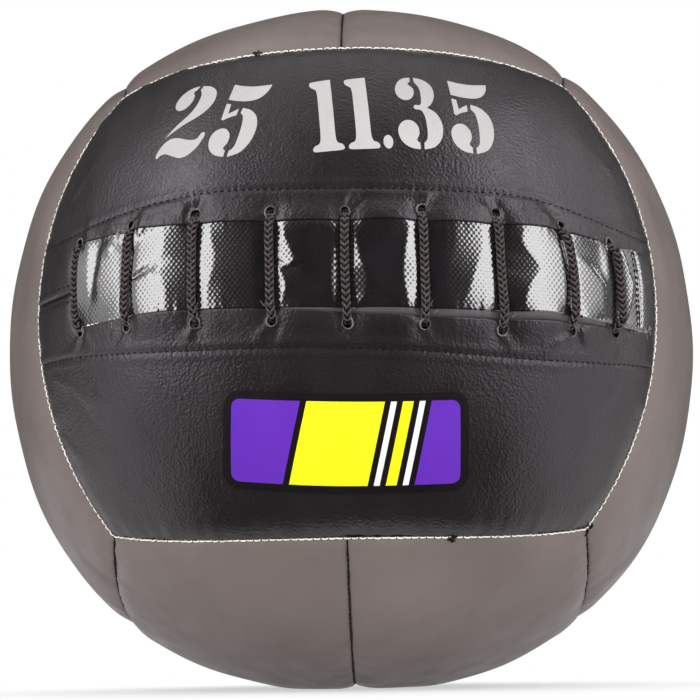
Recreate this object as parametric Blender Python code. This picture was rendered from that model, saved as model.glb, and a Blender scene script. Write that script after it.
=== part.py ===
"""A soft wall ball: twelve sewn panels in the pattern of a six-faced ball, a laced opening
in its front face, and the padding, stuffing and weight that it holds.

Metres, +Z up. The front face looks along -Y, and the ball stands on Z = 0 above the origin.
"""
import math

import bmesh
import bpy
from mathutils import Matrix, Vector

# The ball
ball_width = 0.3556            # 14 inches, across the middles of two opposite faces
sit_depth = 0.003              # how far the weight presses the bottom face flat
crown_share = 0.0694           # how much further out the seams lie than the middles of the faces
crown_round_share = 0.0308     # and how much of that comes in close to the corners
seam_bow = math.radians(6.86)  # how far the end seam of a strip bows out past a cube's edge

# The shell
leather = 0.002                # coated fabric
seam_allowance = 0.006         # edge of a panel turned in along its seams
seam_dip = 0.0022              # how far the thread draws a seam in
seam_dip_reach = 0.012         # width of the drawn-in band beside a seam
touch_gap = 0.0003             # clearance between pieces that lie together
facet_clearance = 0.0010       # room for the flat facets of a curved panel

# The laced opening, measured along the skin from the middle of the front face
lace_count = 9
lace_diameter = 0.0044
lace_slack = 0.0005            # how far a lace stands off what it crosses
lace_first = 0.128             # first lace, left of the middle
lace_last = 0.1275             # last lace, right of the middle
lace_last_pitch = 0.0273       # the last two laces lie closer than the others
lace_tail = 0.012
end_web = 0.0017               # shell left between the slit and the holes at its left end
last_web = 0.0047              # and at its right end
slit_rise = 0.0182             # upper edge of the slit above the middle of the face
slit_rise_tilt = 0.0022        # and how much that edge falls to the right
slit_drop = 0.0198             # lower edge of the tongue below the middle of the face
slit_drop_tilt = 0.0020
hole_inset = 0.0052            # from the edge of the slit to the middle of a hole
first_hole_inset = 0.0025
last_hole_inset = 0.003
hole_sides = 8

# The strips behind the slit's edges
facing_thickness = 0.0015
facing_hem = 0.0093            # width of a strip past the holes
facing_taper = 0.0100          # and how much narrower it is at its ends
facing_overlap = 0.020         # how far it runs past the first and last lace

# The tongue behind the laces
tongue_thickness = 0.003
tongue_wing = 0.012            # how far it runs behind the shell on each side
tongue_shoulder = 0.0030       # rounded edge of the part that swells through the slit
tongue_roll = 0.0011
wing_slope = 0.0035
tab_thickness = 0.002          # right end of the tongue, which lies over the shell
tab_end = 0.155
tab_rise = 0.0012              # length over which the tongue climbs through the slit
wing_start = 0.024             # the wings start this far in from the slit's left end
wing_end = 0.006               # and stop this far before its right end

# The binding along the right half of the tongue's lower edge
binding_start = -0.001
binding_short = 0.001          # how far it stops before the slit's right end
binding_width = 0.0030
binding_thickness = 0.0018
binding_sink = 0.0006

# Inside
pad_thickness = 0.010
pad_play = 0.0015              # room between a pad and the turned-in edges round it
pad_room = 0.0015              # between a front pad and the facing beside it
liner_play = 0.0025            # room between the pads and the liner bag
liner_thickness = 0.001
mouth_angle = math.radians(18)
weight_radius = 0.077          # ball of iron grit
weight_bag_thickness = 0.0012
neck_radius = 0.013
neck_length = 0.026
tie_diameter = 0.004
turn_sides = 20

# Shares of a strip's width and half length where its points lie, closer beside the seams
fine_shares = (0, 0.05, 0.22, 0.41, 0.59, 0.78, 0.95, 1)
coarse_shares = (0, 0.25, 0.5, 0.75, 1)
coarse_long_shares = (0, 0.36, 0.72, 1)
bar_shares = (0.35, 0.65)      # points of a lace between the edges of the slit

# Sizes that follow
half_width = ball_width / 2
rest_height = half_width - sit_depth
seam_radius = half_width / (1 - crown_share / 2 + crown_round_share / 4)
corner_angle = math.atan(math.sqrt(0.5))
half_gap = touch_gap / 2
lace_radius = lace_diameter / 2
lace_turn = lace_radius + lace_slack
hole_radius = math.sqrt(2) * (lace_radius + half_gap) - lace_slack
slit_left = lace_first - hole_radius - end_web
slit_right = lace_last - hole_radius - last_web
lace_pitch = (lace_first + lace_last - lace_last_pitch) / (lace_count - 2)
binding_stop = slit_right - binding_short
facing_top = leather + facet_clearance + touch_gap
facing_bottom = facing_top + facing_thickness
facing_width = hole_inset + hole_radius + facing_hem
facing_half_length = lace_first + facing_overlap
hidden_depth = facing_bottom + lace_slack + lace_turn
tongue_top = hidden_depth + lace_radius + touch_gap
tongue_bottom = tongue_top + tongue_thickness
tab_lift = touch_gap + tab_thickness
pad_top = leather + facet_clearance + touch_gap
pad_bottom = pad_top + pad_thickness
slit_reach = max(slit_rise, slit_drop + slit_drop_tilt / 2 + binding_width)
pad_start = slit_reach + facing_width + pad_room
liner_depth = pad_bottom + liner_play
liner_inside = liner_depth + liner_thickness
stuffing_depth = liner_inside + touch_gap
weight_bag_radius = weight_radius + touch_gap + weight_bag_thickness
pocket_radius = weight_bag_radius + touch_gap
neck_outer = neck_radius + weight_bag_thickness
neck_end = weight_bag_radius + neck_length
tie_ring_radius = neck_outer + touch_gap + tie_diameter / 2
neck_pocket = tie_ring_radius + tie_diameter / 2 + touch_gap
belly_angles = [math.pi * k / 8 for k in range(1, 8)]
cut_over = 0.006               # how far every cutter runs past what it cuts

X, Y, Z = Vector((1, 0, 0)), Vector((0, 1, 0)), Vector((0, 0, 1))


# The rounded shape that every layer of the ball follows

def skin_radius(q):
    """Distance from the ball's centre to its skin along the unit vector q."""
    k = q.x ** 4 + q.y ** 4 + q.z ** 4
    return seam_radius * (1 + crown_share * (0.5 - k) + crown_round_share * (0.5 - k) ** 2)


def skin_point(q, depth, dip=0.0):
    """The point a depth below the skin along q, pressed flat at the bottom, then drawn in by dip."""
    p = q * (skin_radius(q) - depth)
    if depth > 0:
        p.z = max(p.z, depth - rest_height)
    return p - q * dip + Z * rest_height


def strip_point(u, v, depth):
    """A point of the front face, u to the right and v up along the skin from its middle."""
    right, up = u / half_width, v / half_width
    q = Vector((math.sin(right) * math.cos(up), -math.cos(right) * math.cos(up), math.sin(up)))
    return skin_point(q, depth)


# Materials

def finish(name, colour, roughness, metallic=0.0):
    material = bpy.data.materials.new(name)
    material.use_nodes = True
    shader = material.node_tree.nodes["Principled BSDF"]
    shader.inputs["Base Color"].default_value = (*colour, 1)
    shader.inputs["Roughness"].default_value = roughness
    shader.inputs["Metallic"].default_value = metallic
    return material


def black_vinyl():
    return finish("black_vinyl", (0.040, 0.034, 0.036), 0.48)


def grey_vinyl():
    return finish("grey_vinyl", (0.150, 0.125, 0.118), 0.50)


def coated_scrim():
    return finish("coated_scrim", (0.010, 0.009, 0.011), 0.18)


def grey_tape():
    return finish("grey_tape", (0.080, 0.078, 0.080), 0.60)


def braided_cord():
    return finish("braided_cord", (0.035, 0.030, 0.026), 0.85)


def closed_foam():
    return finish("closed_foam", (0.30, 0.30, 0.32), 0.90)


def liner_cloth():
    return finish("liner_cloth", (0.42, 0.40, 0.36), 0.95)


def textile_fill():
    return finish("textile_fill", (0.50, 0.47, 0.44), 1.0)


def canvas():
    return finish("canvas", (0.30, 0.24, 0.15), 0.95)


def iron_grit():
    return finish("iron_grit", (0.10, 0.095, 0.09), 0.55, 0.8)


# Closed solids from rows of points

def solid(name, bm, material):
    bmesh.ops.recalc_face_normals(bm, faces=bm.faces)
    mesh = bpy.data.meshes.new(name)
    bm.to_mesh(mesh)
    bm.free()
    mesh.shade_smooth()
    mesh.set_sharp_from_angle(angle=math.radians(50))
    mesh.materials.append(material)
    part = bpy.data.objects.new(name, mesh)
    bpy.context.collection.objects.link(part)
    return part


def perimeter(sheet):
    right = [row[-1] for row in sheet[1:]]
    left = [row[0] for row in reversed(sheet[1:-1])]
    return sheet[0] + right + list(reversed(sheet[-1][:-1])) + left


def layered_solid(name, outside, inside, material, rims=()):
    """A closed solid between two sheets of points, joined round their edges by way of the rims."""
    bm = bmesh.new()
    outer, inner = [[[bm.verts.new(p) for p in row] for row in sheet] for sheet in (outside, inside)]
    for sheet in (outer, inner):
        for row, after in zip(sheet, sheet[1:]):
            for corners in zip(row, row[1:], after[1:], after):
                bm.faces.new(corners)
    loops = [perimeter(outer)]
    loops += [[bm.verts.new(p) for p in rim] for rim in rims]
    loops += [perimeter(inner)]
    for loop, after in zip(loops, loops[1:]):
        for k in range(len(loop)):
            bm.faces.new((loop[k - 1], loop[k], after[k], after[k - 1]))
    return solid(name, bm, material)


def cutter(part):
    part.hide_render = True
    part.display_type = 'WIRE'
    return part


def cut(part, *cutters):
    for tool in cutters:
        boolean = part.modifiers.new("cut_" + tool.name, 'BOOLEAN')
        boolean.operation = 'DIFFERENCE'
        boolean.solver = 'EXACT'
        boolean.object = tool


# The seams of one strip: along its face it runs in x, its face looks along y, it lies on z's side

def mid_seam(s):
    turn = s * (math.pi / 4 + seam_bow)
    return Vector((math.sin(turn), math.cos(turn), 0))


def long_seam(s):
    lean, turn = math.pi / 4 - seam_bow * (1 - s * s), corner_angle * s
    across = math.cos(turn)
    return Vector((math.sin(turn), math.cos(lean) * across, math.sin(lean) * across))


def end_seam(t, side):
    lean, turn = math.pi / 4 + seam_bow * (1 - t * t), corner_angle * t
    across = math.cos(turn)
    return Vector((side * math.sin(lean) * across, math.cos(lean) * across, math.sin(turn)))


def strip_direction(s, t):
    """Unit vector to the strip at s from -1 to 1 along it and t from 0 to 1 across it."""
    share = (s + 1) / 2
    along = mid_seam(s) * (1 - t) + long_seam(s) * t
    across = end_seam(t, -1) * (1 - share) + end_seam(t, 1) * share
    ends = [end_seam(0, side) * (1 - t) + end_seam(1, side) * t for side in (-1, 1)]
    return (along + across - ends[0] * (1 - share) - ends[1] * share).normalized()


def inward(curve, at, q):
    """Direction square to a seam, along the skin, into the strip."""
    nudge_share = 0.001
    across = (curve(at + nudge_share) - curve(at - nudge_share)).cross(q).normalized()
    return across if across.dot(strip_direction(0, 0.5) - q) > 0 else -across


def set_in(q, s, t, inset):
    """Moves a point on the strip's edge in from its seams by the inset."""
    ways = []
    if t == 0:
        ways.append(inward(mid_seam, s, q))
    if t == 1:
        ways.append(inward(long_seam, s, q))
    if abs(s) == 1:
        ways.append(inward(lambda at: end_seam(at, s), t, q))
    if not ways:
        return q
    move = sum(ways, Vector()) / (1 + (ways[0].dot(ways[1]) if len(ways) == 2 else 0))
    return (q + move * inset / skin_radius(q)).normalized()


def seam_distance(q, s, t):
    """Distance along the skin from the nearest seam."""
    seams = (mid_seam(s), long_seam(s), end_seam(t, -1), end_seam(t, 1))
    return min(q.angle(seam, 0) for seam in seams) * seam_radius


def drawn_in(distance):
    return seam_dip * max(0, 1 - distance / seam_dip_reach) ** 2


def both_ways(shares):
    return [-share for share in reversed(shares)] + list(shares[1:])


def strip_sheet(frame, s_shares, t_shares, inset, depth, start=0.0):
    """Rows of points of one strip, a depth below the skin, with its edges set in."""
    rows = []
    for t in t_shares:
        row = []
        for s in both_ways(s_shares):
            at = start + (1 - start) * t
            q = set_in(strip_direction(s, at), s, t if start else at, inset)
            dip = drawn_in(seam_distance(q, s, at))
            row.append(skin_point(frame @ q, depth, dip))
        rows.append(row)
    return rows


def turned_in_edge(frame, inset):
    """The edge of a strip's turned-in allowance."""
    loop = []
    directions = [[(s, t) for s in both_ways(fine_shares)] for t in fine_shares]
    for s, t in perimeter(directions):
        q = frame @ set_in(strip_direction(s, t), s, t, inset)
        loop.append(skin_point(q, seam_dip + seam_allowance))
    return loop


def strip_frame(along, out, across):
    return Matrix((along, out, across)).transposed()


def shell_panel(name, frame, material):
    """One panel: a crowned strip of coated fabric with its edges turned in along every seam."""
    outside = strip_sheet(frame, fine_shares, fine_shares, half_gap, 0)
    inside = strip_sheet(frame, fine_shares, fine_shares, half_gap + leather, leather)
    rims = (turned_in_edge(frame, half_gap), turned_in_edge(frame, half_gap + leather))
    return layered_solid(name + "_panel", outside, inside, material, rims)


def foam_pad(name, frame, start, material):
    """The foam behind one panel, between its turned-in edges."""
    inset = half_gap + leather + pad_play
    outside = strip_sheet(frame, coarse_long_shares, coarse_shares, inset, pad_top, start)
    inside = strip_sheet(frame, coarse_long_shares, coarse_shares, inset, pad_bottom, start)
    return layered_solid(name + "_pad", outside, inside, material)


# The opening in the front face

def slit_top(u):
    return slit_rise - slit_rise_tilt * u / lace_first


def tongue_low(u):
    return -slit_drop - slit_drop_tilt * u / lace_first


def binding_height(u):
    share = (u - binding_start) / (binding_stop - binding_start)
    return binding_width * math.sqrt(math.sin(math.pi * share)) if 0 < share < 1 else 0.0


def slit_low(u):
    return tongue_low(u) - touch_gap - binding_height(u)


def spread(start, stop, count):
    return [start + (stop - start) * k / count for k in range(count + 1)]


def band(name, stations, section, material):
    """A strip across the front face. A section lists (v, top depth, bottom depth) at a station."""
    outside = [[strip_point(u, v, top) for v, top, bottom in section(u)] for u in stations]
    inside = [[strip_point(u, v, bottom) for v, top, bottom in section(u)] for u in stations]
    return layered_solid(name, outside, inside, material)


def slit_cutter(material):
    depth = seam_dip + seam_allowance + cut_over / 2

    def section(u):
        return [(v, -cut_over, depth) for v in spread(slit_low(u), slit_top(u), 2)]

    return cutter(band("slit_cutter", spread(-slit_left, slit_right, 28), section, material))


def lace_places():
    """Place of each lace along the slit, with the middles of its lower and upper holes."""
    places = []
    for k in range(lace_count):
        last = k == lace_count - 1
        u = lace_last if last else -lace_first + k * lace_pitch
        inset = first_hole_inset if k == 0 else last_hole_inset if last else hole_inset
        low = tongue_low(u) - touch_gap if last or k == 0 else slit_low(u)
        places.append((u, low - inset, slit_top(u) + inset))
    return places


def hole_cutter(name, centres, material):
    """Round bars square to the skin, one for each lace hole of an edge."""
    bm = bmesh.new()
    length = facing_bottom + 2 * cut_over
    for u, v in centres:
        middle = strip_point(u, v, facing_bottom / 2)
        out = (strip_point(u, v, 0) - middle).normalized()
        place = Matrix.Translation(middle) @ out.to_track_quat('Z', 'Y').to_matrix().to_4x4()
        radius = hole_radius / math.cos(math.pi / hole_sides)
        bmesh.ops.create_cone(bm, cap_ends=True, segments=hole_sides, radius1=radius,
                              radius2=radius, depth=length, matrix=place)
    return cutter(solid(name, bm, material))


def facing(name, edge, side, material):
    """The strip sewn behind one edge of the slit, which the lace holes go through."""
    def section(u):
        width = facing_width - facing_taper * (u / facing_half_length) ** 2
        return [(v, facing_top, facing_bottom) for v in spread(edge(u), edge(u) + side * width, 2)]

    stations = spread(-facing_half_length, facing_half_length, 24)
    return band(name, stations, section, material)


def tongue(material):
    """The padded tongue: it swells through the slit, and its right end lies over the shell."""
    climb = slit_right - touch_gap - tab_rise
    wings_start, wings_stop = wing_start - slit_left, slit_right - wing_end
    step = touch_gap / 10

    def section(u):
        top = -tab_lift if u > climb else 0.0
        bottom = -touch_gap if u > climb else tongue_bottom
        foot = facing_bottom + touch_gap
        if u > climb:
            depths = spread(top + tab_thickness * 3 / 4, top, 4)
            side = list(zip((2 * step, step, 0, -tongue_shoulder / 12, -tongue_shoulder), depths))
        else:
            winged = wings_start <= u <= wings_stop
            side = [(tongue_wing, tongue_top), (wing_slope, tongue_top)] if winged else \
                   [(2 * step, tongue_top), (step, tongue_top)]
            side += [(0, foot), (-tongue_shoulder / 12, tongue_roll), (-tongue_shoulder, top)]
        low, high = tongue_low(u), slit_top(u) - touch_gap
        lower = [(low - out, depth, bottom) for out, depth in side]
        upper = [(high + out, depth, bottom) for out, depth in reversed(side)]
        return lower + [((low + high) / 2, top, bottom)] + upper

    stations = spread(touch_gap - slit_left, wings_start - touch_gap, 2)
    stations += spread(wings_start, wings_stop, 12)
    stations += [wings_stop + touch_gap, climb, slit_right - touch_gap]
    stations += spread(slit_right, tab_end, 4)[1:]
    return band("lacing_tongue", stations, section, material)


def binding(material):
    """The tape along the right half of the tongue's lower edge."""
    def section(u):
        low = tongue_low(u) - binding_height(u)
        rows = spread(low, tongue_low(u) - touch_gap, 1)
        return [(v, binding_sink, binding_sink + binding_thickness) for v in rows]

    length = binding_stop - binding_start
    stations = spread(binding_start + length / 16, binding_stop - length / 16, 14)
    return band("tongue_binding", stations, section, material)


def lace_route():
    """Up one hole and down the next: over the tongue, through the shell, behind it to the next."""
    places = lace_places()
    route = []
    for k, (u, lower, upper) in enumerate(places):
        upward = k % 2 == 0
        enter, leave = (lower, upper) if upward else (upper, lower)
        way = 1 if upward else -1
        lift = tab_lift if k == lace_count - 1 else 0.0
        outside = lace_slack + lift
        if k == 0:
            route.append((u - lace_tail, enter, hidden_depth))
        else:
            before = places[k - 1]
            route.append(((u + before[0]) / 2, (enter + before[1 if upward else 2]) / 2, hidden_depth))
        route.append((u - lace_turn, enter, hidden_depth))
        route.append((u, enter, hidden_depth - lace_turn))
        route.append((u, enter, -outside))
        route.append((u, enter + way * lace_turn, -outside - lace_turn))
        for share in bar_shares:
            route.append((u, enter + (leave - enter) * share, -outside - lace_radius))
        route.append((u, leave - way * lace_turn, -outside - lace_turn))
        route.append((u, leave, -outside))
        route.append((u, leave, hidden_depth - lace_turn))
        route.append((u + lace_turn, leave, hidden_depth))
        if k == lace_count - 1:
            route.append((u + lace_tail, leave, hidden_depth))
    return [strip_point(*place) for place in route]


def lace(material):
    curve = bpy.data.curves.new("lace", 'CURVE')
    curve.dimensions = '3D'
    curve.bevel_depth = lace_radius
    curve.bevel_resolution = 2
    curve.use_fill_caps = True
    route = lace_route()
    spline = curve.splines.new('POLY')
    spline.points.add(len(route) - 1)
    for point, place in zip(spline.points, route):
        point.co = (*place, 1)
    curve.materials.append(material)
    part = bpy.data.objects.new("lace", curve)
    bpy.context.collection.objects.link(part)
    return part


# What the shell holds, turned about the line from front to back through the ball's centre

def turned_direction(angle, around):
    side = math.sin(angle)
    return Vector((side * math.cos(around), -math.cos(angle), side * math.sin(around)))


def skin_ring(angle, depth):
    return [skin_point(turned_direction(angle, 2 * math.pi * k / turn_sides), depth)
            for k in range(turn_sides)]


def ring(forward, radius):
    """A ring about the axis, a way forward of the centre."""
    points = []
    for k in range(turn_sides):
        around = 2 * math.pi * k / turn_sides
        side = Vector((radius * math.cos(around), -forward, radius * math.sin(around)))
        points.append(side + Z * rest_height)
    return points


def ball_rings(radius, angles):
    return [ring(radius * math.cos(angle), radius * math.sin(angle)) for angle in angles]


def turned_solid(name, rings, material):
    """Joins rings of points into one closed solid. A ring of one point is a pole, and two poles
    in a row part the outside of a bag from its inside."""
    bm = bmesh.new()
    rows = [[bm.verts.new(p) for p in points] for points in rings]
    for row, after in zip(rows, rows[1:] + rows[:1]):
        if len(row) == len(after) == 1:
            continue
        for k in range(turn_sides):
            corners = (row[(k - 1) % len(row)], row[k % len(row)],
                       after[k % len(after)], after[(k - 1) % len(after)])
            bm.faces.new(dict.fromkeys(corners))
    return solid(name, bm, material)


def liner_bag(material):
    """The cloth bag that holds the stuffing, open behind the tongue."""
    angles = spread(mouth_angle, math.pi, 9)[:-1]
    rings = [skin_ring(angle, liner_inside) for angle in angles]
    rings += [skin_ring(math.pi, liner_inside)[:1], skin_ring(math.pi, liner_depth)[:1]]
    rings += [skin_ring(angle, liner_depth) for angle in reversed(angles)]
    return turned_solid("liner_bag", rings, material)


def stuffing_halves(material):
    """Packed textile fill in a front and a back half, with a pocket for the weight bag."""
    quarter = math.pi / 2
    outline = spread(0, quarter, 5)[1:]
    neck_angle = math.asin(neck_pocket / pocket_radius)
    front = [skin_ring(0, stuffing_depth)[:1]]
    front += [skin_ring(angle, stuffing_depth) for angle in outline[:-1]]
    front.append([p - Y * touch_gap for p in skin_ring(quarter, stuffing_depth)])
    front.append(ring(touch_gap, pocket_radius))
    front += ball_rings(pocket_radius, [*reversed(belly_angles[:3]), neck_angle])
    front += [ring(neck_end + touch_gap, neck_pocket), ring(neck_end + touch_gap, 0)[:1]]
    turned_solid("front_stuffing", front, material)
    back = [ring(-pocket_radius, 0)[:1]]
    back += ball_rings(pocket_radius, reversed(belly_angles[4:]))
    back.append(ring(-touch_gap, pocket_radius))
    back.append([p + Y * touch_gap for p in skin_ring(quarter, stuffing_depth)])
    back += [skin_ring(quarter + angle, stuffing_depth) for angle in outline[:-1]]
    back.append(skin_ring(math.pi, stuffing_depth)[:1])
    turned_solid("back_stuffing", back, material)


def weight_bag(material):
    """The bag of grit at the ball's centre, with its neck gathered towards the front."""
    inner = weight_radius + touch_gap
    outer_angles = [math.asin(neck_outer / weight_bag_radius), *belly_angles]
    inner_angles = [*reversed(belly_angles), math.asin(neck_radius / inner)]
    rings = [ring(neck_end, neck_outer)] + ball_rings(weight_bag_radius, outer_angles)
    rings += [ring(-weight_bag_radius, 0)[:1], ring(-inner, 0)[:1]]
    rings += ball_rings(inner, inner_angles) + [ring(neck_end, neck_radius)]
    return turned_solid("weight_bag", rings, material)


def weight_bag_tie(material):
    """The cord tied round the bag's neck."""
    place = weight_bag_radius + neck_length / 2
    rings = []
    for angle in spread(0, 2 * math.pi, 6)[:-1]:
        forward = place + tie_diameter / 2 * math.sin(angle)
        rings.append(ring(forward, tie_ring_radius + tie_diameter / 2 * math.cos(angle)))
    return turned_solid("weight_bag_tie", rings, material)


def weight_fill(material):
    rings = [ring(weight_radius, 0)[:1], *ball_rings(weight_radius, belly_angles)]
    return turned_solid("weight_fill", rings + [ring(-weight_radius, 0)[:1]], material)


def floor_cutter(material):
    """Everything below the surface that the ball stands on."""
    bm = bmesh.new()
    place = Matrix.Translation(Vector((0, 0, -half_width / 4)))
    size = Matrix.Diagonal(Vector((ball_width, ball_width, half_width / 2, 1)))
    bmesh.ops.create_cube(bm, size=1, matrix=place @ size)
    return cutter(solid("floor_cutter", bm, material))


# The ball

def strips():
    """Name, frame and face of each of the twelve strips, two to a face."""
    faces = (
        ("front", -Y, X, (("upper", Z), ("lower", -Z))),
        ("back", Y, X, (("upper", Z), ("lower", -Z))),
        ("top", Z, Y, (("left", -X), ("right", X))),
        ("bottom", -Z, Y, (("left", -X), ("right", X))),
        ("left", -X, Z, (("front", -Y), ("back", Y))),
        ("right", X, Z, (("front", -Y), ("back", Y))),
    )
    return [(face + "_" + half, strip_frame(along, out, across), face)
            for face, out, along, halves in faces for half, across in halves]


def build():
    for old in list(bpy.data.objects):
        bpy.data.objects.remove(old, do_unlink=True)
    black, grey, foam, tape = black_vinyl(), grey_vinyl(), closed_foam(), grey_tape()
    across_face = half_width * (math.pi / 4 - seam_bow)
    panels = {}
    for name, frame, face in strips():
        panels[name] = shell_panel(name, frame, black if face in ("front", "back") else grey)
        foam_pad(name, frame, pad_start / across_face if face == "front" else 0.0, foam)

    places = lace_places()
    slit = slit_cutter(tape)
    lower_holes = hole_cutter("lower_hole_cutter", [(u, low) for u, low, high in places], tape)
    upper_holes = hole_cutter("upper_hole_cutter", [(u, high) for u, low, high in places], tape)
    cut(panels["front_upper"], slit, upper_holes)
    cut(panels["front_lower"], slit, lower_holes)
    cut(facing("upper_lacing_facing", slit_top, 1, tape), upper_holes)
    cut(facing("lower_lacing_facing", slit_low, -1, tape), lower_holes)
    ground = floor_cutter(tape)
    cut(panels["bottom_left"], ground)
    cut(panels["bottom_right"], ground)

    tongue(coated_scrim())
    binding(tape)
    lace(braided_cord())
    liner_bag(liner_cloth())
    stuffing_halves(textile_fill())
    bag_cloth = canvas()
    weight_bag(bag_cloth)
    weight_bag_tie(bag_cloth)
    weight_fill(iron_grit())


build()
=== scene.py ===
import math

import bmesh
import bpy
import numpy as np
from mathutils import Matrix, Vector


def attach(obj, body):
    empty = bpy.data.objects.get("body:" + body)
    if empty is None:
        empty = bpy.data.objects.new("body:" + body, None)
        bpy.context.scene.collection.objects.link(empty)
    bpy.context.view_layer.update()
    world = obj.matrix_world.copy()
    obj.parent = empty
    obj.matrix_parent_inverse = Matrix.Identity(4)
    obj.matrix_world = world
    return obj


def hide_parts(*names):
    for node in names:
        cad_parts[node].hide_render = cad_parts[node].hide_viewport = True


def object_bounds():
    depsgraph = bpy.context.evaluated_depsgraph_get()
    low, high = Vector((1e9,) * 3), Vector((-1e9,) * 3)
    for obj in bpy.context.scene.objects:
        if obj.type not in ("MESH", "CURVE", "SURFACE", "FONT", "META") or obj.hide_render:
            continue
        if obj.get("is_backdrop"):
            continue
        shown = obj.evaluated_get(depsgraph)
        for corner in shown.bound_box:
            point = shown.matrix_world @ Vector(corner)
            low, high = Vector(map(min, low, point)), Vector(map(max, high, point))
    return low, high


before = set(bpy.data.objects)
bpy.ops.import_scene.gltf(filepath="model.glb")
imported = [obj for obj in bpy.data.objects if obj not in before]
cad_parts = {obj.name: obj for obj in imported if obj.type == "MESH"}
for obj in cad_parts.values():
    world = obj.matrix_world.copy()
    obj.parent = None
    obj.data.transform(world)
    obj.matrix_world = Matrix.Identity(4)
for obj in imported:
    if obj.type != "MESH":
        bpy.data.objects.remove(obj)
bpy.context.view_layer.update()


# The weight. A canvas bag of iron grit lies at the middle of the ball, its neck tied with cord.
# It is sewn and filled first, and everything else is packed round it.

MM = 0.001


def from_hex(text):
    """A colour written as sRGB hex, as the linear values a shader takes."""
    shares = [int(text[k:k + 2], 16) / 255 for k in (1, 3, 5)]
    return (*[s / 12.92 if s <= 0.04045 else ((s + 0.055) / 1.055) ** 2.4 for s in shares], 1)


def add_node(tree, kind, values=None, links=None, **settings):
    """Adds one node: settings are its properties, values its inputs, links its linked inputs."""
    made = tree.nodes.new(kind)
    for name, value in settings.items():
        setattr(made, name, value)
    for socket, value in (values or {}).items():
        made.inputs[socket].default_value = value
    for socket, source in (links or {}).items():
        tree.links.new(source, made.inputs[socket])
    return made


def new_finish(name, **values):
    """A material with the shader's own values set. Returns it with its tree and its shader."""
    material = bpy.data.materials.new(name)
    material.use_nodes = True
    shader = material.node_tree.nodes["Principled BSDF"]
    for socket, value in values.items():
        shader.inputs[socket.replace("_", " ")].default_value = value
    return material, material.node_tree, shader


def drive(tree, shader, **outputs):
    """Links other nodes to the shader's own sockets."""
    for socket, output in outputs.items():
        tree.links.new(output, shader.inputs[socket.replace("_", " ")])


def place_on(tree):
    """The place on the piece itself, which its patterns follow."""
    return add_node(tree, "ShaderNodeTexCoord").outputs["Object"]


def clouds(tree, place, size, detail, **values):
    """A cloudy pattern of that size."""
    return add_node(tree, "ShaderNodeTexNoise", {"Scale": 1 / size, "Detail": detail, **values},
                    {"Vector": place}).outputs["Fac"]


def embossed(tree, pattern, strength, depth, under=None):
    """Relief that follows a pattern, laid over another relief where one is given."""
    links = {"Height": pattern} if under is None else {"Height": pattern, "Normal": under}
    return add_node(tree, "ShaderNodeBump", {"Strength": strength, "Distance": depth},
                    links).outputs["Normal"]


def mottle(tree, size, dark, light, low=0.35, high=0.65):
    """A colour that wanders between two, in patches of that size."""
    ramp = add_node(tree, "ShaderNodeValToRGB",
                    links={"Fac": clouds(tree, place_on(tree), size, 4.0)})
    for stop, at, colour in zip(ramp.color_ramp.elements, (low, high), (dark, light)):
        stop.position, stop.color = at, from_hex(colour)
    return ramp.outputs["Color"]


def cloth_finish(name, thread, dark, light, roughness):
    """Plain woven cloth: two sets of threads over and under each other, dull, with some nap."""
    material, tree, shader = new_finish(name, Roughness=roughness, Sheen_Weight=0.25)
    place = place_on(tree)
    waves = [add_node(tree, "ShaderNodeTexWave", {"Scale": 0.1 / thread, "Distortion": 0.6},
                      {"Vector": place}, bands_direction=axis) for axis in "XZ"]
    weave = add_node(tree, "ShaderNodeMath", links={0: waves[0].outputs["Fac"],
                                                    1: waves[1].outputs["Fac"]},
                     operation="MULTIPLY")
    drive(tree, shader, Base_Color=mottle(tree, 30 * MM, dark, light),
          Normal=embossed(tree, weave.outputs["Value"], 0.5, thread / 2))
    return material


X, Y, Z = (np.array(axis, float) for axis in ((1, 0, 0), (0, 1, 0), (0, 0, 1)))
half_width = 177.8 * MM        # from the ball's middle to the middles of its faces
rest_height = 174.8 * MM
centre = Z * rest_height


def bell(away, reach):
    """1 at a place, falling to 0 on both sides of it."""
    return np.exp(-(away / reach) ** 2)


def step_up(beyond, reach):
    """0 before a place and 1 beyond it, with a smooth change between them."""
    return (1 + np.tanh(beyond / (2 * reach))) / 2


def piece(name, points, faces, material):
    """A smooth mesh that rides with the ball."""
    mesh = bpy.data.meshes.new(name)
    mesh.from_pydata(points, [], faces)
    mesh.update()
    mesh.materials.append(material)
    mesh.shade_smooth()
    made = bpy.data.objects.new(name, mesh)
    bpy.context.collection.objects.link(made)
    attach(made, "root")
    return made


def joined(part):
    """Closes a mesh where its points meet, and faces it outward."""
    bm = bmesh.new()
    bm.from_mesh(part.data)
    bmesh.ops.remove_doubles(bm, verts=bm.verts, dist=0.01 * MM)
    bmesh.ops.recalc_face_normals(bm, faces=bm.faces)
    bm.to_mesh(part.data)
    bm.free()
    return part


def rings(name, points, material):
    """A mesh through rings of points, each joined to the next."""
    index = np.arange(points.shape[0] * points.shape[1]).reshape(points.shape[:2])
    after = np.roll(index, -1, 1)
    quads = np.stack((index[:-1], index[1:], after[1:], after[:-1]), -1).reshape(-1, 4)
    return joined(piece(name, points.reshape(-1, 3).tolist(), quads.tolist(), material))


def turned(forward, out, count):
    """Rings about the line from front to back through the ball's middle."""
    turn = 2 * math.pi * np.arange(count) / count
    forward, out = (np.broadcast_to(value.reshape(len(value), -1), (len(value), count))
                    for value in (forward, out))
    return (centre - forward[..., None] * Y + (out * np.cos(turn))[..., None] * X
            + (out * np.sin(turn))[..., None] * Z)


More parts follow.
